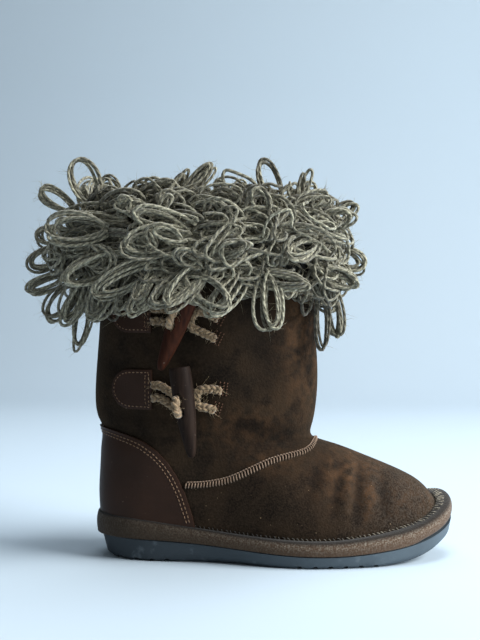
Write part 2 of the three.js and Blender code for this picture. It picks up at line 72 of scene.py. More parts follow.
def work(piece, kind, **settings):
    """Adds a modifier with its settings and applies it."""
    take_up(piece)
    modifier = piece.modifiers.new(kind.title(), kind)
    for name, value in settings.items():
        setattr(modifier, name, value)
    bpy.ops.object.modifier_apply(modifier=modifier.name)


def round_off(piece, levels, keep_sharp):
    """Rounds a faceted form by subdivision. Edges that are sharper than an angle in degrees stay sharp."""
    take_up(piece)
    bpy.ops.object.mode_set(mode="EDIT")
    bpy.ops.mesh.select_mode(type="EDGE")
    bpy.ops.mesh.select_all(action="DESELECT")
    bpy.ops.mesh.edges_select_sharp(sharpness=math.radians(keep_sharp))
    bpy.ops.transform.edge_crease(value=1)
    bpy.ops.object.mode_set(mode="OBJECT")
    work(piece, "SUBSURF", levels=levels, render_levels=levels)
    bpy.ops.object.shade_smooth_by_angle(angle=math.radians(keep_sharp))


def colour(code):
    """An sRGB hex colour as linear RGBA."""
    channels = [int(code[i:i + 2], 16) / 255 for i in (0, 2, 4)]
    return [c / 12.92 if c <= 0.04045 else ((c + 0.055) / 1.055) ** 2.4 for c in channels] + [1]


def add_node(tree, kind, inputs, output=0, **settings):
    """Adds a node with its settings, sets or links its inputs, and gives one of its outputs."""
    made = tree.nodes.new("ShaderNode" + kind)
    for name, value in settings.items():
        setattr(made, name, value)
    for key, value in inputs.items():
        if isinstance(value, bpy.types.NodeSocket):
            tree.links.new(value, made.inputs[key])
        else:
            made.inputs[key].default_value = value
    return made.outputs[output]


def patches(tree, size_mm, detail, low=0, high=1, most=1):
    """Cloudy patches of a real size. They rise from 0 to their most where the noise goes from low to high."""
    at = add_node(tree, "TexCoord", {}, "Object")
    noise = add_node(tree, "TexNoise", {"Vector": at, "Scale": 1 / (size_mm * MM), "Detail": detail})
    return add_node(tree, "MapRange", {"Value": noise, "From Min": low, "From Max": high, "To Max": most})


def towards(tree, axis, start_mm, end_mm, least=0, most=1):
    """Rises from its least to its most while a place on the boot goes from start to end along an axis."""
    at = add_node(tree, "TexCoord", {}, "Object")
    place = add_node(tree, "SeparateXYZ", {"Vector": at}, axis)
    span = {"From Min": start_mm * MM, "From Max": end_mm * MM, "To Min": least, "To Max": most}
    return add_node(tree, "MapRange", {"Value": place, **span})


FACTOR, UNDER, OVER, MIXED = 0, 6, 7, 2  # sockets of a Mix node for colours


def layers(tree, base, *coats):
    """A base colour with coats over it. Each coat is how far it covers, and its colour."""
    under = colour(base)
    for cover, code in coats:
        inputs = {FACTOR: cover, UNDER: under, OVER: colour(code)}
        under = add_node(tree, "Mix", inputs, MIXED, data_type="RGBA")
    return under


def new_material(name, **sockets):
    """A material with constant values on its shader's sockets. Spaces in their names are written as _."""
    made = bpy.data.materials.new(name)
    made.use_nodes = True
    shader = made.node_tree.nodes["Principled BSDF"]
    for socket, value in sockets.items():
        shader.inputs[socket.replace("_", " ")].default_value = value
    return made, made.node_tree, shader


def dress(tree, shader, base, relief, depth_mm):
    """Gives a shader its colour and a relief of a real depth."""
    tree.links.new(base, shader.inputs["Base Color"])
    bump = add_node(tree, "Bump", {"Height": relief, "Distance": depth_mm * MM})
    tree.links.new(bump, shader.inputs["Normal"])


def fit(piece, slot, finish, *nodes):
    """Puts a finished piece on the boot, in place of the nodes that it stands for."""
    piece.data.materials.clear()
    piece.data.materials.append(finish)
    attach(piece, "root")
    if nodes:
        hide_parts(*nodes)


# Moulded foam rubber: dull slate grey, with a fine pebble and pale scuffs. It is painted paler towards the
# toe, where the light falls, so it stays darker at the heel.
foam_rubber, tree, shader = new_material("moulded foam rubber", Roughness=0.72, IOR=1.5)
# Painted light: the rubber is painted paler from the heel towards the toe.
painted_light_ramp = (towards(tree, "X", 0, 200), "525e66")
worn = (patches(tree, 30, 3, 0.3, 0.7, 0.4), "2c343a")
scuffed = (patches(tree, 9, 6, 0.6, 0.76, 0.6), "656d73")
dress(tree, shader, layers(tree, "222a30", painted_light_ramp, worn, scuffed), patches(tree, 0.9, 3), 0.15)

outsole = copy_of("outsole", "outsole_moulded")
round_off(outsole, levels=2, keep_sharp=27)
fit(outsole, "outsole_rubber", foam_rubber, "outsole")


# Rand: a strip of suede wrapped over a padded welt, all round the foot, glued to the outsole and
# whip-stitched to the upper. It is dark at the heel and painted lighter and redder towards the toe, where the
# light falls, with pale dust specks on its upper faces, more of them towards the toe. Its upward faces, down
# to the groove by the upper, are painted dark as shade.
rubbed_suede, tree, shader = new_material(
    "rubbed suede", Roughness=0.95, Sheen_Weight=0.12, Sheen_Roughness=0.5, Specular_IOR_Level=0.2)
upward = add_node(tree, "SeparateXYZ", {"Vector": add_node(tree, "NewGeometry", {}, "Normal")}, "Z")
topside = add_node(tree, "MapRange", {"Value": upward, "From Min": 0.25, "From Max": 0.7, "To Max": 0.92})
shelf = add_node(tree, "MapRange", {"Value": upward, "From Min": -0.25, "From Max": 0.3, "To Min": 0.25})
# Painted light: lighter and redder towards the toe, where the light falls; it also gathers the dust there.
toward_lit_toe = towards(tree, "X", 20, 180, least=0.2)
settled = add_node(tree, "Math", {0: toward_lit_toe, 1: shelf}, operation="MULTIPLY")
dust_and_toe_sheen = add_node(tree, "Math", {0: settled, 1: patches(tree, 1.1, 5, 0.42, 0.7, 0.85)}, operation="MULTIPLY")
napped = (patches(tree, 14, 3), "30261b")
painted_toe_light = (toward_lit_toe, "553f2f")
dusty = (dust_and_toe_sheen, "94897a")
# Painted shade: the rand's upward faces, down to the groove by the upper, are painted dark.
painted_top_shade = (topside, "1b1612")
dress(tree, shader, layers(tree, "1f1911", napped, painted_toe_light, dusty, painted_top_shade), patches(tree, 1.3, 4), 0.6)

rand = copy_of("rand", "rand_wrapped")
round_off(rand, levels=3, keep_sharp=70)
fit(rand, "rand_suede", rubbed_suede, "rand")


# Insole: a footbed cut to the foot's outline and covered with fleece, which lies on the outsole inside the
# upper. Woollen fleece is a pale curly pile that takes no shine.
fleece, tree, shader = new_material("woollen fleece", Roughness=1.0, Sheen_Weight=0.4)
dress(tree, shader, layers(tree, "8f8069", (patches(tree, 4, 4), "bdae94")), patches(tree, 3, 5), 2)

insole = copy_of("insole", "insole_fleece_top")
round_off(insole, levels=2, keep_sharp=50)
fit(insole, "insole_fleece", fleece, "insole")


# Upper: vamp and shaft of brown suede, backed with fleece. It is slack over the heel and at the ankle, and
# the vamp has the soft creases of a worn boot across its ball.
upper = copy_of("upper", "upper_suede")
round_off(upper, levels=3, keep_sharp=50)


def coordinates(piece):
    """A piece's points and their normals, one row for each."""
    points = np.empty(len(piece.data.vertices) * 3)
    normals = np.empty(len(piece.data.vertices) * 3)
    piece.data.vertices.foreach_get("co", points)
    piece.data.vertices.foreach_get("normal", normals)
    return points.reshape(-1, 3), normals.reshape(-1, 3)


# The boot's middle line goes down the leg to the ankle, and on to the toe.
LEG_TOP, ANKLE, TOE = np.array([(47, 0, 320), (47, 0, 60), (185, 11, 35)]) * MM


def off_line(points, start, end):
    """How far points lie from the nearest place of a straight line, as vectors."""
    along = np.clip((points - start) @ (end - start) / ((end - start) @ (end - start)), 0, 1)
    return points - start - along[:, None] * (end - start)


def is_outside(points, normals):
    """True where a face of the boot looks away from its middle line, the near stretch of it above all."""
    away = np.zeros_like(points)
    for end in (LEG_TOP, TOE):
        off = off_line(points, ANKLE, end)
        away += off / np.linalg.norm(off, axis=1, keepdims=True) ** 4
    return (away * normals).sum(axis=1) > 0


# Creases in side view: from and to (x, z), half width and depth, in millimetres. A negative depth is a ridge.
CREASES = [
    ((148, 72), (140, 34), 4.0, 1.7),
    ((154, 70), (149, 32), 3.6, -1.3),
    ((160, 69), (157, 30), 4.0, 2.0),
    ((168, 66), (167, 30), 4.2, -1.4),
    ((176, 62), (178, 32), 4.0, 1.6),
    ((187, 56), (191, 36), 4.5, -0.9),
    ((134, 74), (122, 44), 5.0, 1.4),
    ((112, 90), (62, 98), 7.0, 1.6),
    ((20, 102), (-26, 104), 6.0, 1.2),
    ((118, 128), (126, 168), 9.0, 1.0),
    ((84, 205), (98, 120), 14.0, 1.2),
    ((-20, 150), (-6, 112), 10.0, 1.0),
]
FULL_SHADE_CREASE, MOST_CREASE_SHADE = 3, 0.5  # the crease depth at which its painted shade is full, and how dark that painted shade gets at most


def crease_depth(points, start, end, half_width, depth):
    """How deep a crease lies at each point. It fades out over its ends."""
    a, b = np.array(start) * MM, np.array(end) * MM
    place = points[:, [0, 2]]
    along = (place - a) @ (b - a) / ((b - a) @ (b - a))
    off = np.linalg.norm(off_line(place, a, b), axis=1)
    fade = np.sin(np.pi * np.clip(along * 0.8 + 0.1, 0, 1))
    return depth * MM * fade * np.exp(-((off / (half_width * MM)) ** 2))


points, normals = coordinates(upper)
outside = is_outside(points, normals)
sunk = sum(crease_depth(points, *crease) for crease in CREASES)
outward = np.where(outside, 1, -1)[:, None] * normals
upper.data.vertices.foreach_set("co", (points - sunk[:, None] * outward).ravel())
upper.data.update()
# Painted shade: the deeper a crease, the darker the suede is painted in it.
crease_shade = np.clip(sunk / (FULL_SHADE_CREASE * MM), 0, MOST_CREASE_SHADE)
upper.data.attributes.new("crease_shade", "FLOAT", "POINT").data.foreach_set("value", crease_shade)

# Where the suede is rubbed, and where a painted highlight lies along the shaft's front edge: middle (x, z) in
# side view, reach along and up, and strength.
RUBBED_AND_HIGHLIT = [
    ((152, 62), (26, 16), 0.8),
    ((166, 46), (7, 18), 0.9),
    ((187, 44), (18, 14), 0.5),
    ((140, 48), (5, 14), 0.5),
    ((96, 72), (26, 9), 0.5),
    ((78, 96), (34, 16), 0.55),
    # a painted highlight along the shaft's front edge, where the light falls
    ((122, 170), (18, 60), 0.7),
    ((206, 40), (12, 10), 0.5),
]
points, normals = coordinates(upper)
rubbed = np.zeros(len(points))
for middle, reach, strength in RUBBED_AND_HIGHLIT:
    off = (points[:, [0, 2]] - np.array(middle) * MM) / (np.array(reach) * MM)
    rubbed = np.maximum(rubbed, strength * np.exp(-(off ** 2).sum(axis=1)))
# The rubbed attribute holds the worn patches and the painted highlight.
upper.data.attributes.new("rubbed", "FLOAT", "POINT").data.foreach_set("value", rubbed)

# Suede: split leather with its fibres brushed up. It takes no shine, darkens in clouds where the nap lies
# down, goes rusty where it is rubbed, and holds pale dust specks. A painted highlight lies along the shaft's
# front edge, a painted grey sheen over the toe, and painted shade in its creases. The fibres are drawn about
# twice as coarse as they are, so that they show.
suede, tree, shader = new_material(
    "brown suede", Roughness=1.0, Sheen_Weight=0.2, Sheen_Roughness=0.4, Sheen_Tint=colour("96826a"),
    Specular_IOR_Level=0.1)
wear_and_highlight = add_node(tree, "Attribute", {}, "Fac", attribute_name="rubbed")
uneven = add_node(tree, "Math", {0: wear_and_highlight, 1: patches(tree, 6, 6, 0.35, 0.65)}, operation="MULTIPLY")
on_foot = towards(tree, "Z", 90, 55)
at_toe = towards(tree, "X", 140, 215, most=0.75)
nap = add_node(tree, "Math", {0: on_foot, 1: patches(tree, 1.1, 5, 0.42, 0.68, 0.4)}, operation="MULTIPLY")
# Painted sheen: the toe is painted greyer, where its nap catches the light.
dust_and_toe_sheen = add_node(tree, "Math", {0: at_toe, 1: patches(tree, 1.1, 6, 0.42, 0.68)}, operation="MULTIPLY")
specks = add_node(tree, "Math", {0: on_foot, 1: patches(tree, 1.7, 1, 0.785, 0.81)}, operation="MULTIPLY")
clouded = (patches(tree, 34, 4, 0.35, 0.65), "2e2217")
# rusty where rubbed, and paler along the shaft's front edge as a painted highlight
rusty_wear_and_highlight = (uneven, "583d28")
smudged = (patches(tree, 13, 3, 0.5, 0.66, 0.7), "120d09")
fibred = (patches(tree, 1.6, 4, 0.4, 0.75, 0.25), "46382c")
raised = (nap, "46362a")
painted_toe_sheen = (dust_and_toe_sheen, "504840")
# painted shade in the creases
crease_shade_and_grime = (add_node(tree, "Attribute", {}, "Fac", attribute_name="crease_shade"), "100b08")
dusty = (specks, "92795c")
base = layers(tree, "1b150f", clouded, rusty_wear_and_highlight, smudged, fibred, raised, painted_toe_sheen, crease_shade_and_grime, dusty)
dress(tree, shader, base, patches(tree, 1.5, 5), 0.5)
fit(upper, "upper_suede", suede, "upper")


def peel(source, name, wanted):
    """A new piece from those faces of a piece whose middle and normal pass a test."""
    take_up(source)
    bpy.ops.object.duplicate()
    piece = bpy.context.active_object
    piece.name = name
    piece.parent = None
    for note in [key for key in piece.keys() if key.startswith("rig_")]:
        del piece[note]
    faces = piece.data.polygons
    middles = np.empty(len(faces) * 3)
    facing = np.empty(len(faces) * 3)
    faces.foreach_get("center", middles)
    faces.foreach_get("normal", facing)
    kept = wanted(middles.reshape(-1, 3), facing.reshape(-1, 3))
    bpy.ops.object.mode_set(mode="EDIT")
    bpy.ops.mesh.select_mode(type="FACE")
    bpy.ops.mesh.select_all(action="DESELECT")
    bpy.ops.object.mode_set(mode="OBJECT")
    faces.foreach_set("select", ~kept)
    bpy.ops.object.mode_set(mode="EDIT")
    bpy.ops.mesh.delete(type="FACE")
    bpy.ops.object.mode_set(mode="OBJECT")
    return piece


# Lining: the same fleece with a short pile, cut to the shaft and the foot and glued to the inner face of the
# upper. It shows where one looks down into the shaft.
LINING_LIFT, LINING_PILE = 0.6, 1.6
lining = peel(upper, "lining_fleece", lambda p, n: ~is_outside(p, n) & (abs(n[:, 2]) < 0.95))
work(lining, "DECIMATE", ratio=0.25)
work(lining, "DISPLACE", strength=LINING_LIFT * MM, mid_level=0)
work(lining, "SOLIDIFY", thickness=LINING_PILE * MM, offset=1)
fit(lining, "insole_fleece", fleece)


# Heel counter: a panel of smooth brown leather moulded round the heel, sewn to the upper along its top with
# two rows of tan thread.
COUNTER_THICKNESS, COUNTER_EDGE = 1.6, 0.5
OVERLAY_LIFT = 0.2
COUNTER_FRONT, COUNTER_TOP = 60, 112  # how far forward and up the skin for it is taken
COUNTER_LINE = [  # its top and front edge in side view, in arcs: start, pull and end
    ((-75, 98), (-60, 97), (-30, 95)),
    ((-30, 95), (-6, 91.5), (8, 85)),
    ((8, 85), (40, 68), (48, 0)),
]
COUNTER_FOOT = ((48, 24.8), (-40, 33.2))
COUNTER_ROWS = (3.0, 5.5)  # how far inside the edge its stitches lie
COUNTER_PITCH, COUNTER_SHARE, COUNTER_THREAD = 3.3, 0.74, 0.36
FOOT_MARGIN = 1.5  # how far over its foot a row turns off
PANEL_OVER, PANEL_REACH = 6, 9  # from how far off the upper, and how deep, a panel is felt for


def arc(start, pull, end, steps):
    """A quadratic curve from start to end, drawn towards a pulling point."""
    t = np.linspace(0, 1, steps + 1)[:, None]
    start, pull, end = (np.array(p, dtype=float) for p in (start, pull, end))
    return (1 - t) ** 2 * start + 2 * t * (1 - t) * pull + t ** 2 * end


def trim(piece, line):
    """Cuts a piece along a line in side view, in millimetres, and keeps what lies to the right of its run."""
    take_up(piece)
    bpy.ops.object.mode_set(mode="EDIT")
    for (x, z), (next_x, next_z) in zip(line, line[1:]):
        outward = Vector((z - next_z, 0, next_x - x)).normalized()
        bpy.ops.mesh.select_all(action="SELECT")
        bpy.ops.mesh.bisect(plane_co=(x * MM, 0, z * MM), plane_no=outward, clear_outer=True)
    bpy.ops.object.mode_set(mode="OBJECT")


def rim_of(piece):
    """The points round a panel's edge, in order."""
    edges = {}
    counts = {}
    for face in piece.data.polygons:
        for key in face.edge_keys:
            counts[key] = counts.get(key, 0) + 1
    for a, b in (key for key, count in counts.items() if count == 1):
        edges.setdefault(a, []).append(b)
        edges.setdefault(b, []).append(a)
    first = min(edges)
    run, before, here = [first], None, first
    while True:
        onward = [v for v in edges[here] if v != before]
        before, here = here, onward[0]
        if here == first:
            break
        run.append(here)
    return np.array([piece.data.vertices[v].co for v in run])


def spaced(line, pitch, closed=False):
    """Points at an even pitch along a line."""
    line = np.asarray(line, dtype=float)
    if closed:
        line = np.vstack([line, line[:1]])
    lengths = np.r_[0, np.cumsum(np.linalg.norm(np.diff(line, axis=0), axis=1))]
    count = max(2, int(round(lengths[-1] / pitch)) + 1)
    at = np.linspace(0, lengths[-1], count)
    return np.stack([np.interp(at, lengths, line[:, k]) for k in range(3)], axis=1)


def tree_of(piece):
    """A piece's faces, to be searched for their nearest place or for where a line meets them."""
    return BVHTree.FromObject(piece, bpy.context.evaluated_depsgraph_get())


def on_panel(place, panel_tree):
    """Where a panel's outer face lies over a place near the upper, or None beyond its edge."""
    near, outward, _, _ = upper_tree.find_nearest(Vector(place))
    return panel_tree.ray_cast(near + outward * PANEL_OVER * MM, -outward, PANEL_REACH * MM)[0]


def inset_row(rim, panel_tree, inset_mm, pitch_mm):
    """A closed row of places on a panel's outer face, a distance inside its rim, from its lowest place."""
    rim = spaced(rim, pitch_mm * MM, closed=True)[:-1]
    rim = np.roll(rim, -rim[:, 2].argmin(), axis=0)
    run = np.roll(rim, -2, axis=0) - np.roll(rim, 2, axis=0)
    middle = Vector(rim.mean(axis=0))
    row = []
    for spot, way in zip(rim, run):
        _, outward, _, _ = upper_tree.find_nearest(Vector(spot))
        inward = outward.cross(Vector(way)).normalized()
        if inward.dot(middle - Vector(spot)) < 0:
            inward.negate()
        row.append(on_panel(Vector(spot) + inward * inset_mm * MM, panel_tree) or Vector(spot))
    return np.array([*row, row[0]])


def mesh_piece(name, points, faces):
    """A smooth-shaded piece from its points and faces, with its normals turned outwards."""
    mesh = bpy.data.meshes.new(name)
    mesh.from_pydata([tuple(p) for p in points], [], faces)
    piece = bpy.data.objects.new(name, mesh)
    bpy.context.collection.objects.link(piece)
    take_up(piece)
    bpy.ops.object.mode_set(mode="EDIT")
    bpy.ops.mesh.select_all(action="SELECT")
    bpy.ops.mesh.normals_make_consistent(inside=False)
    bpy.ops.object.mode_set(mode="OBJECT")
    bpy.ops.object.shade_smooth()
    return piece


def lay_stitches(name, pairs, panel_tree, radius_mm, lift_mm=0, arch_mm=0):
    """One joined mesh of stitches, each a short rounded thread that rises out of its hole and dips back in.

    They have one arch for all, or each its own.
    """
    sides, rings = 6, 5
    angles = np.arange(sides) * 2 * math.pi / sides
    share = np.linspace(0, 1, rings)
    swell = np.array([0.35, 0.95, 1, 0.95, 0.35])
    rise = np.array([-0.5, 0.45, 0.7, 0.45, -0.5]) * radius_mm + lift_mm
    bow = np.array([0, 0.75, 1, 0.75, 0])
    points, faces = [], []
    for (start, end), arch in zip(pairs, np.broadcast_to(arch_mm, len(pairs))):
        start, end = Vector(start), Vector(end)
        _, up, _, _ = panel_tree.find_nearest((start + end) / 2)
        along = (end - start).normalized()
        across = along.cross(up).normalized()
        first = len(points)
        for s, grow, lift in zip(share, swell, rise + bow * arch):
            middle = start.lerp(end, s) + up * (lift * MM)
            for angle in angles:
                way = across * math.cos(angle) + up * math.sin(angle)
                points.append(middle + way * (grow * radius_mm * MM))
        for r in range(rings - 1):
            for k in range(sides):
                a, b = first + r * sides + k, first + r * sides + (k + 1) % sides
                faces.append((a, a + sides, b + sides, b))
        faces.append(tuple(first + k for k in range(sides)))
        faces.append(tuple(first + (rings - 1) * sides + k for k in reversed(range(sides))))
    return mesh_piece(name, points, faces)


def dashes(row, share, chosen=lambda p: True):
    """Pairs of ends for the stitches of a row: a share of each pitch is thread, the rest lies underneath."""
    pairs = [(a, a + (b - a) * share) for a, b in zip(row, row[1:])]
    return [(a, b) for a, b in pairs if chosen((a + b) / 2)]


def thicken(panel, thickness_mm, edge_mm):
    """Turns a cut skin into a panel of leather with rounded edges, a little off what it is sewn to."""
    work(panel, "DISPLACE", strength=OVERLAY_LIFT * MM, mid_level=0)
    work(panel, "SOLIDIFY", thickness=thickness_mm * MM, offset=1, use_even_offset=True)
    work(panel, "BEVEL", width=edge_mm * MM, segments=2, limit_method="ANGLE", angle_limit=math.radians(60))
    bpy.ops.object.shade_smooth_by_angle(angle=math.radians(50))


# Smooth leather: a finished grain with fine pores, a low sheen and a reddish dark brown.
smooth_leather, tree, shader = new_material(
    "smooth brown leather", Roughness=0.5, IOR=1.45, Specular_IOR_Level=0.17)
at = add_node(tree, "TexCoord", {}, "Object")
pores = add_node(tree, "TexVoronoi", {"Vector": at, "Scale": 1 / (0.9 * MM)})
tinted = (patches(tree, 24, 4), "382216")
specked = (patches(tree, 2.4, 1, 0.77, 0.8, 0.7), "7d6a58")
dress(tree, shader, layers(tree, "25160d", tinted, specked), pores, 0.08)


def round_heel(p, n):
    """True for the outer faces at the heel."""
    return is_outside(p, n) & (p[:, 0] < COUNTER_FRONT * MM) & (p[:, 2] < COUNTER_TOP * MM)


counter = peel(upper, "heel_counter_panel", round_heel)
for stretch in COUNTER_LINE:
    trim(counter, arc(*stretch, steps=7))
trim(counter, COUNTER_FOOT)
counter_rim = rim_of(counter)
thicken(counter, COUNTER_THICKNESS, COUNTER_EDGE)
fit(counter, "smooth_leather", smooth_leather, "heel_counter")


# Waxed thread: tan, slightly glossy, dark where dirt sits in the twist.
def sewing_thread(name, dull, pale, pale_mm, detail, **sockets):
    """A twisted thread that is dull in its twist and pale in patches of a real size."""
    made, tree, shader = new_material(name, **sockets)
    paler = (patches(tree, pale_mm, detail), pale)
    dress(tree, shader, layers(tree, dull, paler), patches(tree, 0.5, 3), 0.1)
    return made


waxed_thread = sewing_thread("tan waxed thread", "5a3c26", "96714d", 1.5, 2, Roughness=0.7, Sheen_Weight=0.2)

upper_tree = tree_of(upper)
counter_tree = tree_of(counter)
(front_x, front_z), (back_x, back_z) = COUNTER_FOOT
counter_pairs = []
for inset in COUNTER_ROWS:
    row = inset_row(counter_rim, counter_tree, inset, COUNTER_PITCH)
    foot_z = np.interp(row[:, 0] / MM, (back_x, front_x), (back_z, front_z))
    row = row[row[:, 2] / MM > foot_z + inset + FOOT_MARGIN]
    for ahead, last in ((row[0] - row[1], row[0]), (row[-1] - row[-2], row[-1])):
        straight_on = [on_panel(last + k * ahead, counter_tree) for k in range(4)]
        counter_pairs += dashes([spot for spot in straight_on if spot is not None], COUNTER_SHARE)
    counter_pairs += dashes(row, COUNTER_SHARE)
counter_stitches = lay_stitches("heel_counter_stitches", counter_pairs, counter_tree, COUNTER_THREAD)
fit(counter_stitches, "seam_thread", waxed_thread)


# Whip stitches: a waxed thread that goes over the rand's inner edge and into the upper, all round the foot.
# It is sewn by hand, so no two stitches slant alike. It is dark at the heel and painted paler towards the
# toe, where the light falls, with grimy patches all along.
WHIP_PITCH, WHIP_REACH, WHIP_RISE, WHIP_THREAD = 3.2, 0.8, 1.0, 0.34
CREST_DROP = 0.4  # how far under its crest the rand's inner edge begins
DOWN = Vector((0, 0, -1))
FOOT_MIDDLE = Vector((95, 5, 90)) * MM
rand_tree = tree_of(rand)
feather = []
for angle in np.radians(np.arange(0, 360, 2)):
    outward = Vector((math.cos(angle), math.sin(angle), 0))
    hits = [rand_tree.ray_cast(FOOT_MIDDLE + outward * out * MM, DOWN)[0] for out in np.arange(20, 150, 0.5)]
    hits = [spot for spot in hits if spot is not None]
    crest = max(spot.z for spot in hits)
    feather.append(next(spot for spot in hits if spot.z > crest - CREST_DROP * MM))
feather = spaced(feather, WHIP_PITCH * MM, closed=True)
rng = np.random.default_rng(7)
whip_pairs = []
for spot, onward in zip(feather, feather[1:]):
    near, normal, _, _ = upper_tree.find_nearest(Vector(spot) + Vector((0, 0, WHIP_RISE)) * MM)
    flat = Vector((normal.x, normal.y, 0)).normalized()
    slack = rng.uniform(0.2, 0.8)
    beyond = Vector(spot + (onward - spot) * slack) + flat * WHIP_REACH * rng.uniform(0.6, 1.3) * MM
    top, _, _, _ = rand_tree.ray_cast(beyond - DOWN * 0.02, DOWN)
    if top is not None:
        whip_pairs.append((near, top))
pale_thread, tree, shader = new_material("pale dusty thread", Roughness=0.85, Sheen_Weight=0.2)
# Painted light: the thread is painted paler towards the toe.
thread_lit_at_toe = (towards(tree, "X", 100, 200), "a39782")
crease_shade_and_grime = (patches(tree, 3, 3, 0.45, 0.6, 0.8), "2a2118")
dress(tree, shader, layers(tree, "2c251b", thread_lit_at_toe, crease_shade_and_grime), patches(tree, 0.5, 3), 0.1)
whip_stitches = lay_stitches("rand_whip_stitches", whip_pairs, rand_tree, WHIP_THREAD, lift_mm=0.3)
fit(whip_stitches, "seam_thread", pale_thread)


# Vamp seam: where the vamp joins the shaft, a raised welt from the counter's edge over the instep and down
# the inner side, overcast with pinkish-tan thread whose bars stand close together.
SEAM_LINE = [
    (36.8, 54.8), (52, 55.8), (68, 59.3), (84, 66.3), (98, 72.6),
    (112, 76.3), (121, 78.4), (126, 81.5), (129, 86),
]
SEAM_WIDTH, SEAM_HEIGHT, BAR_PITCH, BAR_THREAD = 5.2, 1.2, 2.2, 0.42
SEAM_SIDE, SEAM_LEAST = 40, 0.45  # full size this far from the instep's middle, and its share of that there


def on_side(x_mm, z_mm, side=-1):
    """Where the upper's outer (-1) or inner (1) side lies at a place in side view, and its normal there."""
    start = Vector((x_mm * MM, side * 0.2, z_mm * MM))
    spot, normal, _, _ = upper_tree.ray_cast(start, Vector((0, -side, 0)))
    return spot, normal


def curve_through(points, steps):
    """A smooth line through points, with a number of steps between two of them."""
    points = np.asarray(points, dtype=float)
    padded = np.vstack([2 * points[0] - points[1], points, 2 * points[-1] - points[-2]])
    t = np.linspace(0, 1, steps, endpoint=False)[:, None]
    parts = []
    for a, b, c, d in zip(padded, padded[1:], padded[2:], padded[3:]):
        parts.append(b + (c - a) * t / 2 + (2 * a - 5 * b + 4 * c - d) * t ** 2 / 2
                     + (3 * b - a - 3 * c + d) * t ** 3 / 2)
    return np.vstack([*parts, points[-1:]])


halves = []
for side in (-1, 1):
    spots = [on_side(x, z, side)[0] for x, z in curve_through(SEAM_LINE, 12)]
    halves.append([s for s in spots if s is not None])
seam_path = spaced([*halves[0], *reversed(halves[1])], BAR_PITCH / 2 * MM)
for _ in range(4):
    seam_path[1:-1] = (seam_path[:-2] + 2 * seam_path[1:-1] + seam_path[2:]) / 4
    seam_path = np.array([upper_tree.find_nearest(Vector(p))[0] for p in seam_path])

fullness = SEAM_LEAST + (1 - SEAM_LEAST) * abs(seam_path[:, 1]) / MM / SEAM_SIDE
welt_points, welt_faces, seam_edges = [], [], []
bulge = [(-1, -0.3), (-0.95, 0.35), (-0.55, 0.85), (0, 1), (0.55, 0.85), (0.95, 0.35), (1, -0.3)]
for i, spot in enumerate(seam_path):
    way = Vector(seam_path[min(i + 1, len(seam_path) - 1)] - seam_path[max(i - 1, 0)]).normalized()
    _, up, _, _ = upper_tree.find_nearest(Vector(spot))
    half = up.cross(way).normalized() * (SEAM_WIDTH / 2 * fullness[i] * MM)
    seam_edges.append([Vector(spot) - half, Vector(spot) + half])
    for share, height in bulge:
        welt_points.append(Vector(spot) + half * share + up * (height * SEAM_HEIGHT * fullness[i] * MM))
count = len(bulge)
for i in range(len(seam_path) - 1):
    for k in range(count):
        a, b = i * count + k, i * count + (k + 1) % count
        welt_faces.append((a, a + count, b + count, b))
welt_faces.append(tuple(range(count)))
welt_faces.append(tuple(len(welt_points) - 1 - k for k in range(count)))
welt = mesh_piece("vamp_seam_welt", welt_points, welt_faces)
fit(welt, "upper_suede", suede, "vamp_seam")

seam_thread = sewing_thread("pinkish tan thread", "6b4e3a", "ab8d72", 2, 3, Roughness=0.75, Sheen_Weight=0.25)
bars = [(seam_edges[i][0], seam_edges[i + 1][1]) for i in range(0, len(seam_edges) - 1, 2)]
chain = [(seam_edges[i][1], seam_edges[i + 2][1]) for i in range(1, len(seam_edges) - 2, 2)]
arches = SEAM_HEIGHT * fullness[:-1:2]
overcast = lay_stitches("vamp_seam_bars", bars, upper_tree, BAR_THREAD, lift_mm=0.2, arch_mm=arches)
fit(overcast, "seam_thread", seam_thread)
chain_stitches = lay_stitches("vamp_seam_chain", chain, upper_tree, BAR_THREAD, lift_mm=0.35)
fit(chain_stitches, "seam_thread", seam_thread)


# Toggle tabs: D-shaped patches of the smooth leather, sewn to the shaft along their curve and with two rows
# beside their straight edge, under which the ends of the toggle's cord are held.
TAB_THICKNESS, TAB_EDGE, TAB_SHARE, TAB_THREAD = 1.8, 0.45, 0.62, 0.34
TAB_MARGIN = 4  # how far round a tab the skin for it is taken
RIM_INSET, RIM_PITCH = 2.1, 3.3
SECOND_INSET, SECOND_PITCH, SECOND_REACH = 4.7, 3.0, 5.6  # the second row stays near the straight edge
for place in ("lower", "upper"):
    low, high = (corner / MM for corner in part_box("tab_" + place))
    half = (high.z - low.z) / 2
    middle_z = (high.z + low.z) / 2
    turns = np.linspace(-math.pi / 2, math.pi / 2, 15)
    bow = [(low.x + half - half * math.cos(a), middle_z + half * math.sin(a)) for a in turns]
    outline = [*bow, (high.x, high.z), (high.x, low.z), bow[0]]

    def round_tab(p, n):
        """True for the faces of the shaft's outer side under and round the tab."""
        x, y, z = p.T / MM
        beside = (x > low.x - TAB_MARGIN) & (x < high.x + TAB_MARGIN)
        level = (z > low.z - TAB_MARGIN) & (z < high.z + TAB_MARGIN)
        return is_outside(p, n) & (y < 0) & beside & level

    tab = peel(upper, f"tab_{place}_leather", round_tab)
    trim(tab, outline)
    tab_rim = rim_of(tab)
    thicken(tab, TAB_THICKNESS, TAB_EDGE)
    fit(tab, "smooth_leather", smooth_leather, "tab_" + place)
    tab_tree = tree_of(tab)
    pairs = dashes(inset_row(tab_rim, tab_tree, RIM_INSET, RIM_PITCH), TAB_SHARE)
    second = inset_row(tab_rim, tab_tree, SECOND_INSET, SECOND_PITCH)
    pairs += dashes(second, TAB_SHARE, lambda p: p[0] > (high.x - SECOND_REACH) * MM)
    tab_stitches = lay_stitches(f"tab_{place}_stitches", pairs, tab_tree, TAB_THREAD)
    fit(tab_stitches, "seam_thread", waxed_thread)


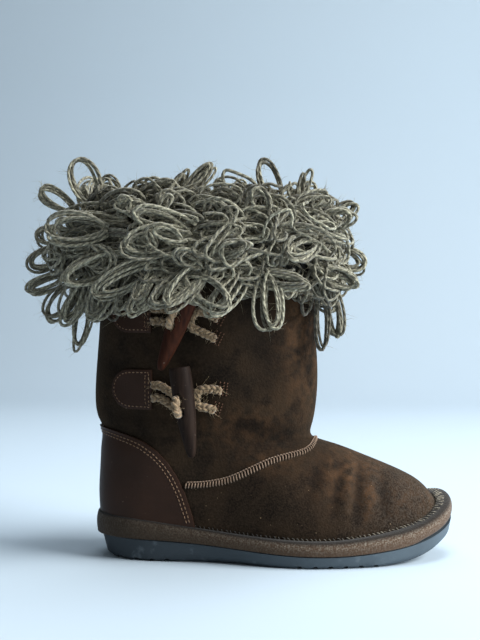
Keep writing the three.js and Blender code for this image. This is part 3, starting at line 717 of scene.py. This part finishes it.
# Toggles: two pieces moulded in the shape and colour of horn, thick at the cut top and rounded to a blunt
# tip, each with two holes for its cord. The lower one is dark and grey, and the upper one is redder.
HORN_TONES = {"lower": ("1a110d", "2c2019"), "upper": ("231009", "3f2013")}
HORN_TILT = {"lower": 8, "upper": -21}
for place, (dark, light) in HORN_TONES.items():
    toggle = copy_of("toggle_" + place, f"toggle_{place}_horn")
    round_off(toggle, levels=3, keep_sharp=55)
    # Horn: satin where hands rub it, streaked along its length, with a few pale chips.
    horn, tree, shader = new_material(
        f"rubbed horn, {place}", Roughness=0.6, IOR=1.54, Specular_IOR_Level=0.06)
    at = add_node(tree, "TexCoord", {}, "Object")
    lean = (0, math.radians(HORN_TILT[place]), 0)
    along = add_node(tree, "Mapping", {"Vector": at, "Rotation": lean, "Scale": (1, 1, 0.08)})
    streaks = add_node(tree, "TexNoise", {"Vector": along, "Scale": 1 / (2.2 * MM), "Detail": 5})
    grained = (add_node(tree, "MapRange", {"Value": streaks, "From Min": 0.3, "From Max": 0.7}), light)
    chipped = (patches(tree, 1.6, 2, 0.72, 0.76, 0.8), "8a7a6e")
    dress(tree, shader, layers(tree, dark, grained, chipped), streaks, 0.12)
    fit(toggle, "toggle_horn", horn, "toggle_" + place)


# Toggle cords: plaited jute rope. One cord leaves each tab, goes behind the toggle, out through one hole and
# in through the other. Ahead of the toggle a loop of the same rope is sewn down with brown bar tacks.
CORD_RADIUS, CORD_REST = 3.1, 3.7
TOGGLE_RADIUS, TOGGLE_LIFT, TOGGLE_ROLL = 8, 16.6, -8
HOLE_RADIUS, HOLE_BESIDE = 3.7, -2.5
UPPER_HOLE, LOWER_HOLE = 10.4, 0.8
STRAND_HEIGHTS = {"upper": 3, "lower": -5.7}  # at the tab, from its middle
STRAND_START, STRAND_FLAT = 1.2, 6.2  # ahead of the tab, and how far a strand then lies flat
LOOP_ROUTE = [  # forward and up from the toggle's middle, and lift off the shaft
    (22.5, 13.2, 0), (14, 14.4, 0.5), (7.6, 13.2, 1.2), (5.5, 8, 1.5), (7, 2.8, 1.2), (12.5, 1.4, 0.5),
]
LOOP_END = {"lower": (18, -0.5, 0), "upper": (25, -0.5, 0)}
TOGGLE_SPOTS = {"lower": (40.6, 110), "upper": (35.6, 167)}
LOOP_TURN = {"lower": 0, "upper": -17}
PLAIT_PITCH, PLAIT_SPREAD, PLAIT_DEPTH, PLAIT_STEP, STRAND_RADIUS = 11.5, 1.75, 0.9, 0.75, 1.5
TACK_COLUMNS = (-1.5, 1.2, 3.6)  # from a loop's end
TACK_PITCH, TACK_LENGTH, TACK_SLANT, TACK_THREAD = 2.1, 1.5, 0.5, 0.4


def lifted(x_mm, z_mm, lift_mm):
    """A place on the shaft's outer side, lifted off it."""
    spot, normal = on_side(x_mm, z_mm)
    return spot + normal * lift_mm * MM


def spin_tubes(name, paths, radius, sides, tones):
    """One joined mesh of round threads. Each path has the same number of points, and its own tone."""
    paths = np.asarray(paths, dtype=float)
    lines, steps, _ = paths.shape
    way = np.gradient(paths, axis=1)
    way /= np.linalg.norm(way, axis=2, keepdims=True)
    lean = np.where(abs(way[:, :1, 2:]) < 0.8, [[[0, 0, 1.0]]], [[[1.0, 0, 0]]])[:, 0]
    frames = np.empty((lines, steps, 2, 3))
    for k in range(steps):
        first = lean - (lean * way[:, k]).sum(axis=1, keepdims=True) * way[:, k]
        lean = first / np.linalg.norm(first, axis=1, keepdims=True)
        frames[:, k, 0] = lean
        frames[:, k, 1] = np.cross(way[:, k], lean)
    angles = np.arange(sides) * 2 * math.pi / sides
    ring = np.stack([np.cos(angles), np.sin(angles)], axis=1)
    thickness = np.broadcast_to(radius, (lines, steps))[..., None, None]
    points = paths[:, :, None] + thickness * np.einsum("sk,lmkx->lmsx", ring, frames)
    index = np.arange(lines * steps * sides).reshape(lines, steps, sides)
    here, turned = index[:, :-1], np.roll(index, -1, axis=2)[:, :-1]
    onward, turned_on = index[:, 1:], np.roll(index, -1, axis=2)[:, 1:]
    quads = np.stack([here, turned, turned_on, onward], axis=-1).reshape(-1, 4)
    ends = [tuple(row) for row in index[:, 0, ::-1]] + [tuple(row) for row in index[:, -1]]
    mesh = bpy.data.meshes.new(name)
    mesh.from_pydata(points.reshape(-1, 3), [], quads.tolist() + ends)
    steps_long = np.linalg.norm(np.diff(paths, axis=1), axis=2)
    along = np.concatenate([np.zeros((lines, 1)), np.cumsum(steps_long, axis=1)], axis=1)
    u0 = np.broadcast_to(along[:, :-1, None], (lines, steps - 1, sides))
    u1 = np.broadcast_to(along[:, 1:, None], (lines, steps - 1, sides))
    v0 = np.broadcast_to(np.arange(sides) / sides, u0.shape)
    v1 = v0 + 1 / sides
    corners = [np.stack(pair, axis=-1) for pair in ((u0, v0), (u0, v1), (u1, v1), (u1, v0))]
    flat = np.zeros((len(mesh.loops), 2))
    flat[:quads.size] = np.stack(corners, axis=-2).reshape(-1, 2)
    mesh.uv_layers.new(name="thread").data.foreach_set("uv", flat.ravel())
    tone = np.repeat(np.asarray(tones, dtype=float), steps * sides)
    mesh.attributes.new("tone", "FLOAT", "POINT").data.foreach_set("value", tone)
    piece = bpy.data.objects.new(name, mesh)
    bpy.context.collection.objects.link(piece)
    take_up(piece)
    bpy.ops.object.shade_smooth()
    return piece


def carried_frames(path, normal):
    """The two directions across a path, carried along it without twist from a normal at its start."""
    way = np.gradient(path, axis=0)
    way /= np.linalg.norm(way, axis=1, keepdims=True)
    lean = np.array(normal, dtype=float)
    out = []
    for direction in way:
        lean = lean - (lean @ direction) * direction
        lean /= np.linalg.norm(lean)
        out.append((np.cross(direction, lean), lean))
    return np.array(out)


def plait(name, route, normal):
    """Three strands that cross over each other in turn along a route."""
    path = spaced(curve_through(route, 10), PLAIT_STEP * MM)
    across = carried_frames(path, normal)
    along = np.arange(len(path)) * PLAIT_STEP / PLAIT_PITCH
    strands = []
    for k in range(3):
        turn = 2 * math.pi * (along + k / 3)
        wide = PLAIT_SPREAD * MM * np.sin(turn)[:, None] * across[:, 0]
        deep = PLAIT_DEPTH * MM * np.sin(2 * turn)[:, None] * across[:, 1]
        strands.append(path + wide + deep)
    return spin_tubes(name, strands, STRAND_RADIUS * MM, sides=8, tones=[0.45, 0.6, 0.5])


# The faces of one hair: its root, its sides up to the bend, and its tip.
HAIR = [(0, 2, 1), (0, 1, 4, 3), (1, 2, 5, 4), (2, 0, 3, 5), (3, 4, 6), (4, 5, 6), (5, 3, 6)]


def loose_hairs(name, piece, count, reach_mm, radius_mm):
    """One joined mesh of stray fibres that stand off a piece, each three-sided, bent and pointed."""
    points, normals = coordinates(piece)
    chosen = rng.choice(np.flatnonzero(is_outside(points, normals)), count)
    way = normals[chosen] + rng.normal(0, 0.6, (count, 3))
    way /= np.linalg.norm(way, axis=1, keepdims=True)
    lean = np.cross(way, rng.normal(0, 1, (count, 3)))
    lean /= np.linalg.norm(lean, axis=1, keepdims=True)
    corners = [lean * math.cos(a) + np.cross(way, lean) * math.sin(a) for a in np.radians((0, 120, 240))]
    half = rng.uniform(0.25, 0.5, (count, 1)) * reach_mm * MM
    root = points[chosen]
    bend = root + way * half
    tip = bend + (way + rng.normal(0, 0.6, (count, 3))) * half
    rings = [root + c * radius_mm * MM for c in corners] + [bend + c * 0.7 * radius_mm * MM for c in corners]
    hairs = np.stack([*rings, tip], axis=1).reshape(-1, 3)
    faces = [tuple(7 * k + corner for corner in face) for k in range(count) for face in HAIR]
    return mesh_piece(name, hairs, faces)


# Jute: coarse straw-coloured fibres twisted into strands, pale on top of the twist, with painted shade in the
# grooves between. Stray ends stand off it. They are drawn about three times as thick as they are, so that
# they show.
def twisted_fibre(name, groove_shade, dull, pale, twist_mm, groove_shade_cover):
    """A two-ply thread. Each has a tone of its own, and its plies wind round it along the thread's UV map."""
    made, tree, shader = new_material(name, Roughness=1.0, Sheen_Weight=0.2, Sheen_Roughness=0.6)
    at = add_node(tree, "UVMap", {}, uv_map="thread")
    wound = add_node(tree, "Mapping", {"Vector": at, "Scale": (1 / (twist_mm * MM), 2, 1)})
    along = add_node(tree, "SeparateXYZ", {"Vector": wound}, "X")
    around = add_node(tree, "SeparateXYZ", {"Vector": wound}, "Y")
    turns = add_node(tree, "Math", {0: along, 1: around}, operation="ADD")
    angle = add_node(tree, "Math", {0: turns, 1: 2 * math.pi}, operation="MULTIPLY")
    wave = add_node(tree, "Math", {0: angle}, operation="SINE")
    # Painted shade: the grooves between the plies are painted dark.
    sunken = {"From Min": 0.6, "From Max": -1, "To Max": groove_shade_cover}
    ply_groove_shade = add_node(tree, "MapRange", {"Value": wave, **sunken})
    tone = add_node(tree, "Attribute", {}, "Fac", attribute_name="tone")
    lit = add_node(tree, "Math", {0: tone, 1: patches(tree, 1.6, 4, 0.2, 0.7)}, operation="MULTIPLY")
    base = layers(tree, dull, (lit, pale), (ply_groove_shade, groove_shade))
    dress(tree, shader, base, wave, 0.25)
    return made


jute = twisted_fibre("plaited jute", "3d2c1a", "6d5238", "c9ac84", twist_mm=4.5, groove_shade_cover=0.5)
jute_ends, _, _ = new_material("stray jute ends", Base_Color=colour("ad9674"), Roughness=1.0)
tack_thread = sewing_thread("brown tacking thread", "3a2113", "70482c", 1.5, 3, Roughness=0.8)

for place, (x, z) in TOGGLE_SPOTS.items():
    low, high = (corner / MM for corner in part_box("tab_" + place))
    tab_z = (low.z + high.z) / 2
    stand = Matrix.Translation(lifted(x, z, TOGGLE_LIFT))
    for angle, axis in ((-HORN_TILT[place], "Y"), (90, "X"), (TOGGLE_ROLL, "Y")):
        stand = stand @ Matrix.Rotation(math.radians(angle), 4, axis)

    def in_horn(across, along, out):
        """A place by the toggle: across it from its holes, along it, and out from its middle."""
        return stand @ (Vector((HOLE_BESIDE + across, along, out)) * MM)

    def strand_route(height, hole, onward):
        """Half of a tab's cord: flat on the shaft, behind the toggle, through a hole and on to the other."""
        start = high.x + STRAND_START
        route = [lifted(ahead, tab_z + height, CORD_REST) for ahead in (start, start + STRAND_FLAT)]
        for bend in (TOGGLE_ROLL, 35, 90):
            back, inward = math.cos(math.radians(bend)), math.sin(math.radians(bend))
            route.append(in_horn(HOLE_RADIUS * (inward - 1), hole, -TOGGLE_RADIUS - HOLE_RADIUS * back))
        route.append(in_horn(0, hole, TOGGLE_RADIUS - 0.5))
        for bend in (30, 60, 90):
            away, out = 1 - math.cos(math.radians(bend)), math.sin(math.radians(bend))
            route.append(in_horn(0, hole + onward * HOLE_RADIUS * away, TOGGLE_RADIUS + HOLE_RADIUS * out))
        return route

    route = strand_route(STRAND_HEIGHTS["upper"], UPPER_HOLE, -1)
    route += reversed(strand_route(STRAND_HEIGHTS["lower"], LOWER_HOLE, 1))
    tab_cord = plait(f"tab_cord_{place}_plait", route, on_side(high.x, tab_z)[1])
    fit(tab_cord, "rope", jute, "tab_cord_" + place)
    tab_ends = loose_hairs(f"tab_cord_{place}_ends", tab_cord, count=160, reach_mm=6, radius_mm=0.12)
    fit(tab_ends, "rope", jute_ends)

    turned = Matrix.Rotation(math.radians(LOOP_TURN[place]), 2)
    loop_route = [*LOOP_ROUTE, LOOP_END[place]]
    loop_spots = [turned @ Vector((forward, up)) for forward, up, _ in loop_route]
    route = [lifted(x + s.x, z + s.y, CORD_REST + lift) for s, (_, _, lift) in zip(loop_spots, loop_route)]
    loop_cord = plait(f"loop_cord_{place}_plait", route, on_side(x + loop_spots[0].x, z + loop_spots[0].y)[1])
    fit(loop_cord, "rope", jute, "loop_cord_" + place)
    loop_ends = loose_hairs(f"loop_cord_{place}_ends", loop_cord, count=120, reach_mm=6, radius_mm=0.12)
    fit(loop_ends, "rope", jute_ends)

    tacks = []
    for end, inner in ((0, 1), (-1, -2)):
        ahead = (loop_spots[end] - loop_spots[inner]).normalized()
        beside = Vector((-ahead.y, ahead.x))
        for column in TACK_COLUMNS:
            for k in range(-2, 3):
                mid = loop_spots[end] + ahead * column + beside * (k * TACK_PITCH)
                tip = mid + beside * TACK_LENGTH + ahead * TACK_SLANT
                lift = 2 * CORD_RADIUS - 1 if column < 0 and abs(k) < 2 else 0
                tacks.append((lifted(x + mid.x, z + mid.y, lift), lifted(x + tip.x, z + tip.y, lift)))
    bar_tacks = lay_stitches(f"loop_cord_{place}_tacks", tacks, upper_tree, TACK_THREAD)
    fit(bar_tacks, "seam_thread", tack_thread)


# Cuff: a knitted band round the collar, thick with hanks of fuzzy grey-olive wool that stand and hang from it
# in loops of two to eight strands, one inside the other.
BAND_FOOT, BAND_LIFT, BAND_THICKNESS = 204, 0.3, 9
COLLAR, CLEARANCE = 250, 3
ROLL_MIDDLE, ROLL_HALF, ROLL_BACK, ROLL_FRONT = 224, 47, 37, 25
YARN_RADIUS, LOOP_STEPS = 1.15, 26

# Knitted band: dull wool painted near-black as the shade between the loops, where it hardly shows, and
# painted lighter where it turns over the collar, out of that shade.
knit_in_painted_shade, tree, shader = new_material("dark knitted band", Roughness=1.0)
painted_light_ramp = (towards(tree, "Z", 244, 251), "565142")
mottled = (patches(tree, 4, 4, 0.3, 0.7, 0.5), "29261f")
dress(tree, shader, layers(tree, "15130f", painted_light_ramp, mottled), patches(tree, 2.5, 3), 1.5)


def under_cuff(p, n):
    """True for the outer faces of the shaft's top, without its rim."""
    return is_outside(p, n) & (p[:, 2] > BAND_FOOT * MM) & (n[:, 2] < 0.5)


band = peel(upper, "cuff_knitted_band", under_cuff)
work(band, "DISPLACE", strength=BAND_LIFT * MM, mid_level=0)
work(band, "SOLIDIFY", thickness=BAND_THICKNESS * MM, offset=1)
fit(band, "cuff_yarn", knit_in_painted_shade, "cuff")

# The shaft's outline under the band, with its outward directions, at every millimetre.
axis = Vector((*ANKLE[:2], ROLL_MIDDLE * MM))
outline = []
for angle in np.radians(np.arange(0, 360, 4)):
    outward = Vector((math.cos(angle), math.sin(angle), 0))
    outline.append(upper_tree.ray_cast(axis + outward * 0.3, -outward)[0])
outline = spaced(outline, MM, closed=True)[:-1]
outline_way = np.roll(outline, -6, axis=0) - np.roll(outline, 6, axis=0)
outline_out = np.stack([outline_way[:, 1], -outline_way[:, 0]], axis=1)
outline_out /= np.linalg.norm(outline_out, axis=1, keepdims=True)
GIRTH = len(outline)


def drape(places):
    """Turns millimetres round the shaft, up, and out from it into points."""
    round_mm, up, out = np.moveaxis(places, -1, 0)
    at = np.mod(round_mm, GIRTH).astype(int) % GIRTH
    share = (np.mod(round_mm, GIRTH) - at)[..., None]
    here, onward = outline[at, :2], outline[(at + 1) % GIRTH, :2]
    facing = outline_out[at] * (1 - share) + outline_out[(at + 1) % GIRTH] * share
    flat = here * (1 - share) + onward * share + facing * out[..., None] * MM
    return np.concatenate([flat, up[..., None] * MM], axis=-1)


def roll_depth(round_mm, up):
    """How far the mass of yarn stands out from the shaft, in millimetres."""
    x = outline[int(round_mm) % GIRTH, 0]
    forward = (x - outline[:, 0].min()) / np.ptp(outline[:, 0])
    depth = ROLL_BACK + (ROLL_FRONT - ROLL_BACK) * forward
    return depth * math.sqrt(max(0.1, 1 - ((up - ROLL_MIDDLE) / ROLL_HALF) ** 2))


# The course of a loop: the share of it that is run, how near its tip that is, and how far to a side.
share = np.linspace(0.015, 0.985, LOOP_STEPS)
reach = (1 - np.cos(2 * math.pi * share)) / 2
sway = np.sin(2 * math.pi * share) * (0.7 + 0.3 * reach)


def hank(root, tip, width, strands, droop, loose, inmost):
    """The strands of one bunch, each a loop from root towards tip and back. Places are along, up and out."""
    root, tip = np.array(root, dtype=float), np.array(tip, dtype=float)
    made = []
    for k in range(strands):
        grow = inmost + (1 - inmost) * (k + 0.5) / strands
        ahead = (tip - root) * (0.7 + 0.33 * grow) * rng.normal(1, 0.03)
        flank = np.array([-ahead[1], ahead[0], 0]) / max(1e-6, math.hypot(ahead[0], ahead[1]))
        flank[2] = rng.normal(0, 0.35)
        own = width * grow * rng.normal(1, 0.08)
        ahead = ahead + rng.normal(0, 0.9 * loose, 3)
        path = root + rng.normal(0, loose, 3) + reach[:, None] * ahead + (sway * own / 2)[:, None] * flank
        path[:, 1] -= droop * rng.uniform(0.6, 1.4) * reach ** 2
        parted = rng.normal(0, 1.1 * loose, 3)
        path += np.cos(math.pi * share)[:, None] * parted
        for swing in (1.5, 3, 5):
            phase = rng.uniform(0, 2 * math.pi, 3)
            wander = rng.normal(0, loose / (1 + swing), 3)
            path += wander * np.sin(2 * math.pi * swing * share[:, None] + phase)
        made.append(path)
    return made


def ramp(value, low, high):
    """0 up to low and 1 from high, smooth between."""
    grown = np.clip((value - low) / (high - low), 0, 1)
    return grown * grown * (3 - 2 * grown)


# Rows of hanks: height of the roots, count, heading in degrees (0 is sideways, 90 is up), its spread, length,
# width, droop, and how far out their roots and tips lie, as shares of the mass. The hanks lie combed round
# the heel and are tangled in short curls over the instep. None of them hangs in front of the toggles.
ROWS = [
    (206, 26, -78, 26, 30, 15, 0, 0.40, 0.75),
    (214, 22, -35, 22, 40, 19, 5, 0.45, 0.92),
    (222, 22, -12, 25, 44, 20, 8, 0.45, 1.00),
    (231, 22, 2, 25, 44, 21, 9, 0.45, 1.02),
    (240, 22, 18, 25, 42, 20, 9, 0.40, 1.00),
    (247, 22, 42, 25, 34, 18, 6, 0.40, 0.95),
    (250, 20, 80, 30, 18, 16, 2, 0.20, 0.50),
    (228, 40, 0, 70, 30, 13, 4, 0.30, 0.60),
    (246, 30, 60, 50, 18, 12, 2, 0.10, 0.40),
    (253, 40, 0, 25, 20, 8, 0, 0.15, 0.25),
    (240, 14, 30, 150, 17, 21, 0, 0.85, 1.02),
    (220, 14, 0, 150, 17, 20, 0, 0.85, 1.02),
]
TANGLE_START, TANGLE_FULL = 10, 85
TOGGLE_BACK, TOGGLE_FRONT, TOGGLE_TOP = -4, 68, 184
draped = []
for row, (height, count, heading, spread, length, width, droop, root_share, tip_share) in enumerate(ROWS):
    for k in range(count):
        along = GIRTH * (k + 0.5 * (row % 2) + rng.uniform(-0.35, 0.35)) / count
        place = outline[int(along) % GIRTH]
        tangle = ramp(place[0] / MM, TANGLE_START, TANGLE_FULL)
        up = height + rng.uniform(-3.5, 3.5)
        turn = math.radians(heading + rng.uniform(-spread, spread) * (1 + 1.3 * tangle))
        span = length * rng.uniform(0.8, 1.2) * (1 - 0.35 * tangle)
        side = rng.choice([-1, 1])
        tip_along = along + side * span * math.cos(turn)
        tip_up = up + span * math.sin(turn)
        by_toggle = place[1] < 0 and TOGGLE_BACK < place[0] / MM < TOGGLE_FRONT
        if by_toggle and tip_up < TOGGLE_TOP:
            continue
        root = (along, up, root_share * roll_depth(along, up))
        tip = (tip_along, tip_up, tip_share * roll_depth(tip_along, tip_up))
        own_width = width * rng.uniform(0.7, 1.2) * (1 + 0.2 * tangle)
        strands = int(rng.integers(4, 8) - 2 * tangle)
        draped += hank(root, tip, own_width, strands, droop, 1.5 + 1.6 * tangle, 0.4 + 0.2 * tangle)
draped = np.array(draped)
draped[..., 2] = np.maximum(draped[..., 2], CLEARANCE + 1)
loops = [drape(draped)]

# The loops that stand out: root and tip (x, y, z), width and strands.
YARN_LOOPS = [
    # hanging
    ((-33, -38, 194), (-41, -40, 153), 12, 4),
    ((-42, -34, 198), (-64, -34, 174), 19, 5),
    ((-28, -50, 204), (-48, -46, 172), 17, 6),
    ((-6, -60, 208), (-26, -58, 174), 16, 6),
    ((12, -62, 210), (-6, -64, 178), 15, 6),
    ((24, -66, 210), (10, -80, 184), 11, 4),
    ((64, -64, 212), (20, -84, 184), 20, 5),
    ((72, -62, 204), (122, -60, 197), 13, 7),
    ((98, -62, 204), (99, -72, 167), 17, 5),
    ((58, -70, 212), (30, -85, 182), 17, 5),
    ((44, -70, 200), (72, -84, 184), 20, 4),
    ((80, -64, 206), (58, -83, 178), 15, 3),
    ((30, -66, 208), (6, -82, 178), 14, 4),
    ((134, -20, 198), (133, -26, 150), 10, 3),
    ((138, -8, 200), (145, -14, 160), 12, 4),
    ((124, 32, 206), (142, 40, 178), 16, 6),
    ((86, 58, 206), (96, 68, 174), 18, 6),
    ((42, 64, 208), (54, 76, 174), 18, 6),
    ((6, 60, 206), (-4, 72, 172), 18, 6),
    ((-28, 48, 206), (-50, 50, 176), 18, 6),
    # reaching out past the heel and the instep
    ((-56, -6, 222), (-85, -8, 213), 18, 5),
    ((-52, -10, 206), (-82, -12, 195), 12, 5),
    ((-54, 14, 232), (-86, 16, 238), 18, 5),
    ((126, -36, 208), (156, -30, 198), 15, 6),
    ((136, 12, 222), (162, 14, 214), 18, 6),
    ((130, -22, 240), (155, -26, 248), 13, 5),
    ((134, 6, 240), (157, 8, 258), 14, 5),
    # lying on the mass
    ((47, -68, 230), (2, -80, 222), 22, 4),
    ((-14, -60, 234), (-56, -58, 236), 24, 5),
    ((48, 66, 236), (86, 76, 230), 22, 6),
    ((46, -70, 230), (9, -80, 243), 18, 4),
    ((2, -64, 214), (-45, -66, 199), 20, 6),
    ((26, -66, 212), (-22, -72, 191), 17, 6),
    ((62, -68, 208), (36, -84, 217), 15, 3),
    ((58, -70, 217), (85, -80, 223), 12, 5),
    ((130, -42, 226), (112, -64, 217), 17, 4),
    ((68, -52, 248), (44, -60, 258), 14, 4),
    ((30, 64, 232), (-8, 78, 226), 20, 6),
    ((98, 58, 232), (134, 54, 224), 20, 6),
    # standing
    ((-30, -28, 250), (-42, -34, 288), 27, 3),
    ((-46, -26, 250), (-71, -30, 270), 14, 4),
    ((30, -48, 250), (56, -42, 280), 10, 7),
    ((25, -46, 250), (38, -44, 275), 9, 6),
    ((91, -56, 236), (91, -66, 262), 23, 4),
    ((103, -36, 250), (92, -36, 286), 16, 4),
    ((116, -36, 250), (122, -36, 276), 7, 2),
    ((112, -40, 250), (136, -38, 257), 9, 3),
    ((110, 40, 250), (124, 46, 280), 14, 6),
    ((60, 48, 250), (72, 56, 281), 18, 6),
    ((10, 46, 250), (-6, 54, 277), 16, 6),
    ((-28, 30, 250), (-38, 38, 284), 20, 6),
]
SIDE_VIEW = [0, 2, 1]  # along, up and out
for root, tip, width, strands in YARN_LOOPS:
    places = (np.array(root)[SIDE_VIEW], np.array(tip)[SIDE_VIEW])
    bunch = hank(*places, width, strands, droop=1, loose=1.2, inmost=0.72)
    loops.append(np.array(bunch)[..., SIDE_VIEW] * MM)
loops = np.concatenate(loops)

# The mass lies flatter on the inner side, where the other boot rubs it. No strand runs through the shaft, or
# through the upper toggle and its cord, which it hangs in front of.
RUBBED_SIDE, RUBBED_SHARE = 74, 0.4
SHAFT_SIDE, TOGGLE_SIDE = -44, -78
x, y, z = np.moveaxis(loops, -1, 0) / MM
y = np.where(y > RUBBED_SIDE, RUBBED_SIDE + RUBBED_SHARE * (y - RUBBED_SIDE), y)
before_toggle = ramp(x, 4, 14) * ramp(-x, -72, -62) * ramp(-z, -208, -200) * (y < 0)
farthest_in = TOGGLE_SIDE * before_toggle + SHAFT_SIDE * (1 - before_toggle)
loops[..., 1] = np.where(before_toggle > 0.02, np.minimum(y, farthest_in), y) * MM
for path in loops:
    for k, spot in enumerate(path):
        if spot[2] > COLLAR * MM:
            continue
        near, normal, _, _ = upper_tree.find_nearest(Vector(spot))
        off = (Vector(spot) - near).dot(normal)
        if off < CLEARANCE * MM:
            path[k] = near + normal * CLEARANCE * MM
for _ in range(3):
    loops[:, 1:-1] = (loops[:, :-2] + 2 * loops[:, 1:-1] + loops[:, 2:]) / 4

# Wool: loosely spun and fuzzy, with painted shade that darkens it deep in the mass. Its stray hairs are drawn
# about four times as thick as they are, so that they show.
DEEPEST, OUTERMOST = 8, 28  # off the shaft, where the painted shade on the yarn is deepest, and where it ends
wool = twisted_fibre("grey-olive wool", "211a0d", "362d1c", "c8c0a3", twist_mm=6, groove_shade_cover=0.52)
wool_hair, _, _ = new_material("stray wool hairs", Base_Color=colour("948b73"), Roughness=1.0)
crowns = loops[:, LOOP_STEPS // 2]
stand_off = np.array([(upper_tree.find_nearest(Vector(c))[0] - Vector(c)).length for c in crowns]) / MM
# Painted shade: each strand's random tone is darkened the deeper its crown lies in the mass.
tones = rng.uniform(0.3, 1, len(loops)) * (0.25 + 0.75 * ramp(stand_off, DEEPEST, OUTERMOST))
girths = rng.uniform(0.8, 1.15, (len(loops), 1)) * YARN_RADIUS * MM
for part, chosen in enumerate(np.array_split(np.arange(len(loops)), 3)):
    yarn = spin_tubes(f"cuff_yarn_{part + 1}", loops[chosen], girths[chosen], sides=5, tones=tones[chosen])
    fit(yarn, "cuff_yarn", wool, "cuff")
    hairs = loose_hairs(f"cuff_hairs_{part + 1}", yarn, count=5000, reach_mm=10, radius_mm=0.11)
    fit(hairs, "cuff_yarn", wool_hair)


# Studio: a pale sheet that sweeps up far behind the boot, a large window light from the right with soft
# fills, and the photo's level camera.
SWEEP_HALF, SWEEP_START, SWEEP_RADIUS, SWEEP_TOP = 4, 1.3, 0.8, 3.5
pale_sheet, _, _ = new_material("pale sheet", Base_Color=colour("bfcad2"), Roughness=0.9)
turns = np.linspace(0, math.pi / 2, 17)
bend = [(SWEEP_START + SWEEP_RADIUS * math.sin(a), SWEEP_RADIUS * (1 - math.cos(a))) for a in turns]
profile = [(-SWEEP_HALF, 0), *bend, (SWEEP_START + SWEEP_RADIUS, SWEEP_TOP)]
corners = [(x, y, z) for y, z in profile for x in (-SWEEP_HALF, SWEEP_HALF)]
strips = [(2 * k, 2 * k + 1, 2 * k + 3, 2 * k + 2) for k in range(len(profile) - 1)]
mesh = bpy.data.meshes.new("floor")
mesh.from_pydata(corners, [], strips)
floor = bpy.data.objects.new("floor", mesh)
bpy.context.collection.objects.link(floor)
take_up(floor)
bpy.ops.object.shade_smooth()
floor.data.materials.append(pale_sheet)

camera_data = bpy.data.cameras.new("camera")
camera_data.sensor_fit = "VERTICAL"
camera_data.sensor_height = 36
camera_data.lens = 56.25
camera = bpy.data.objects.new("camera", camera_data)
camera.location = (0.1371, -0.7369, 0.172)
camera.rotation_euler = (math.radians(90), 0, math.radians(5))
bpy.context.collection.objects.link(camera)
bpy.context.scene.camera = camera

bpy.context.scene.view_settings.view_transform = "Standard"
world = bpy.data.worlds.new("studio")
world.use_nodes = True
world.node_tree.nodes["Background"].inputs["Color"].default_value = colour("c9dbe8")
world.node_tree.nodes["Background"].inputs["Strength"].default_value = 0.17
bpy.context.scene.world = world


def area_light(name, place, target, size, power, tint):
    """A soft rectangular light at a place, turned to a target."""
    data = bpy.data.lights.new(name, "AREA")
    data.shape = "RECTANGLE"
    data.size, data.size_y = size
    data.energy = power
    data.color = colour(tint)[:3]
    light = bpy.data.objects.new(name, data)
    light.location = place
    light.rotation_euler = (Vector(target) - Vector(place)).to_track_quat("-Z", "Y").to_euler()
    bpy.context.collection.objects.link(light)


area_light("window", (2.15, -0.45, 1.25), (0.1, 0.05, 0.12), (1.4, 1.4), 124, "f4fbff")
area_light("sky", (0.3, 0.0, 1.6), (0.1, 0.1, 0), (1.4, 0.5), 17, "e6f1fb")
area_light("room", (-0.3, -1.5, 0.7), (0.05, 0, 0.12), (1.6, 1.2), 1.2, "f2f0ea")
area_light("back", (0.1, 1.15, 1.6), (0.05, 0, 0.2), (1.6, 0.8), 10, "e2ecf6")
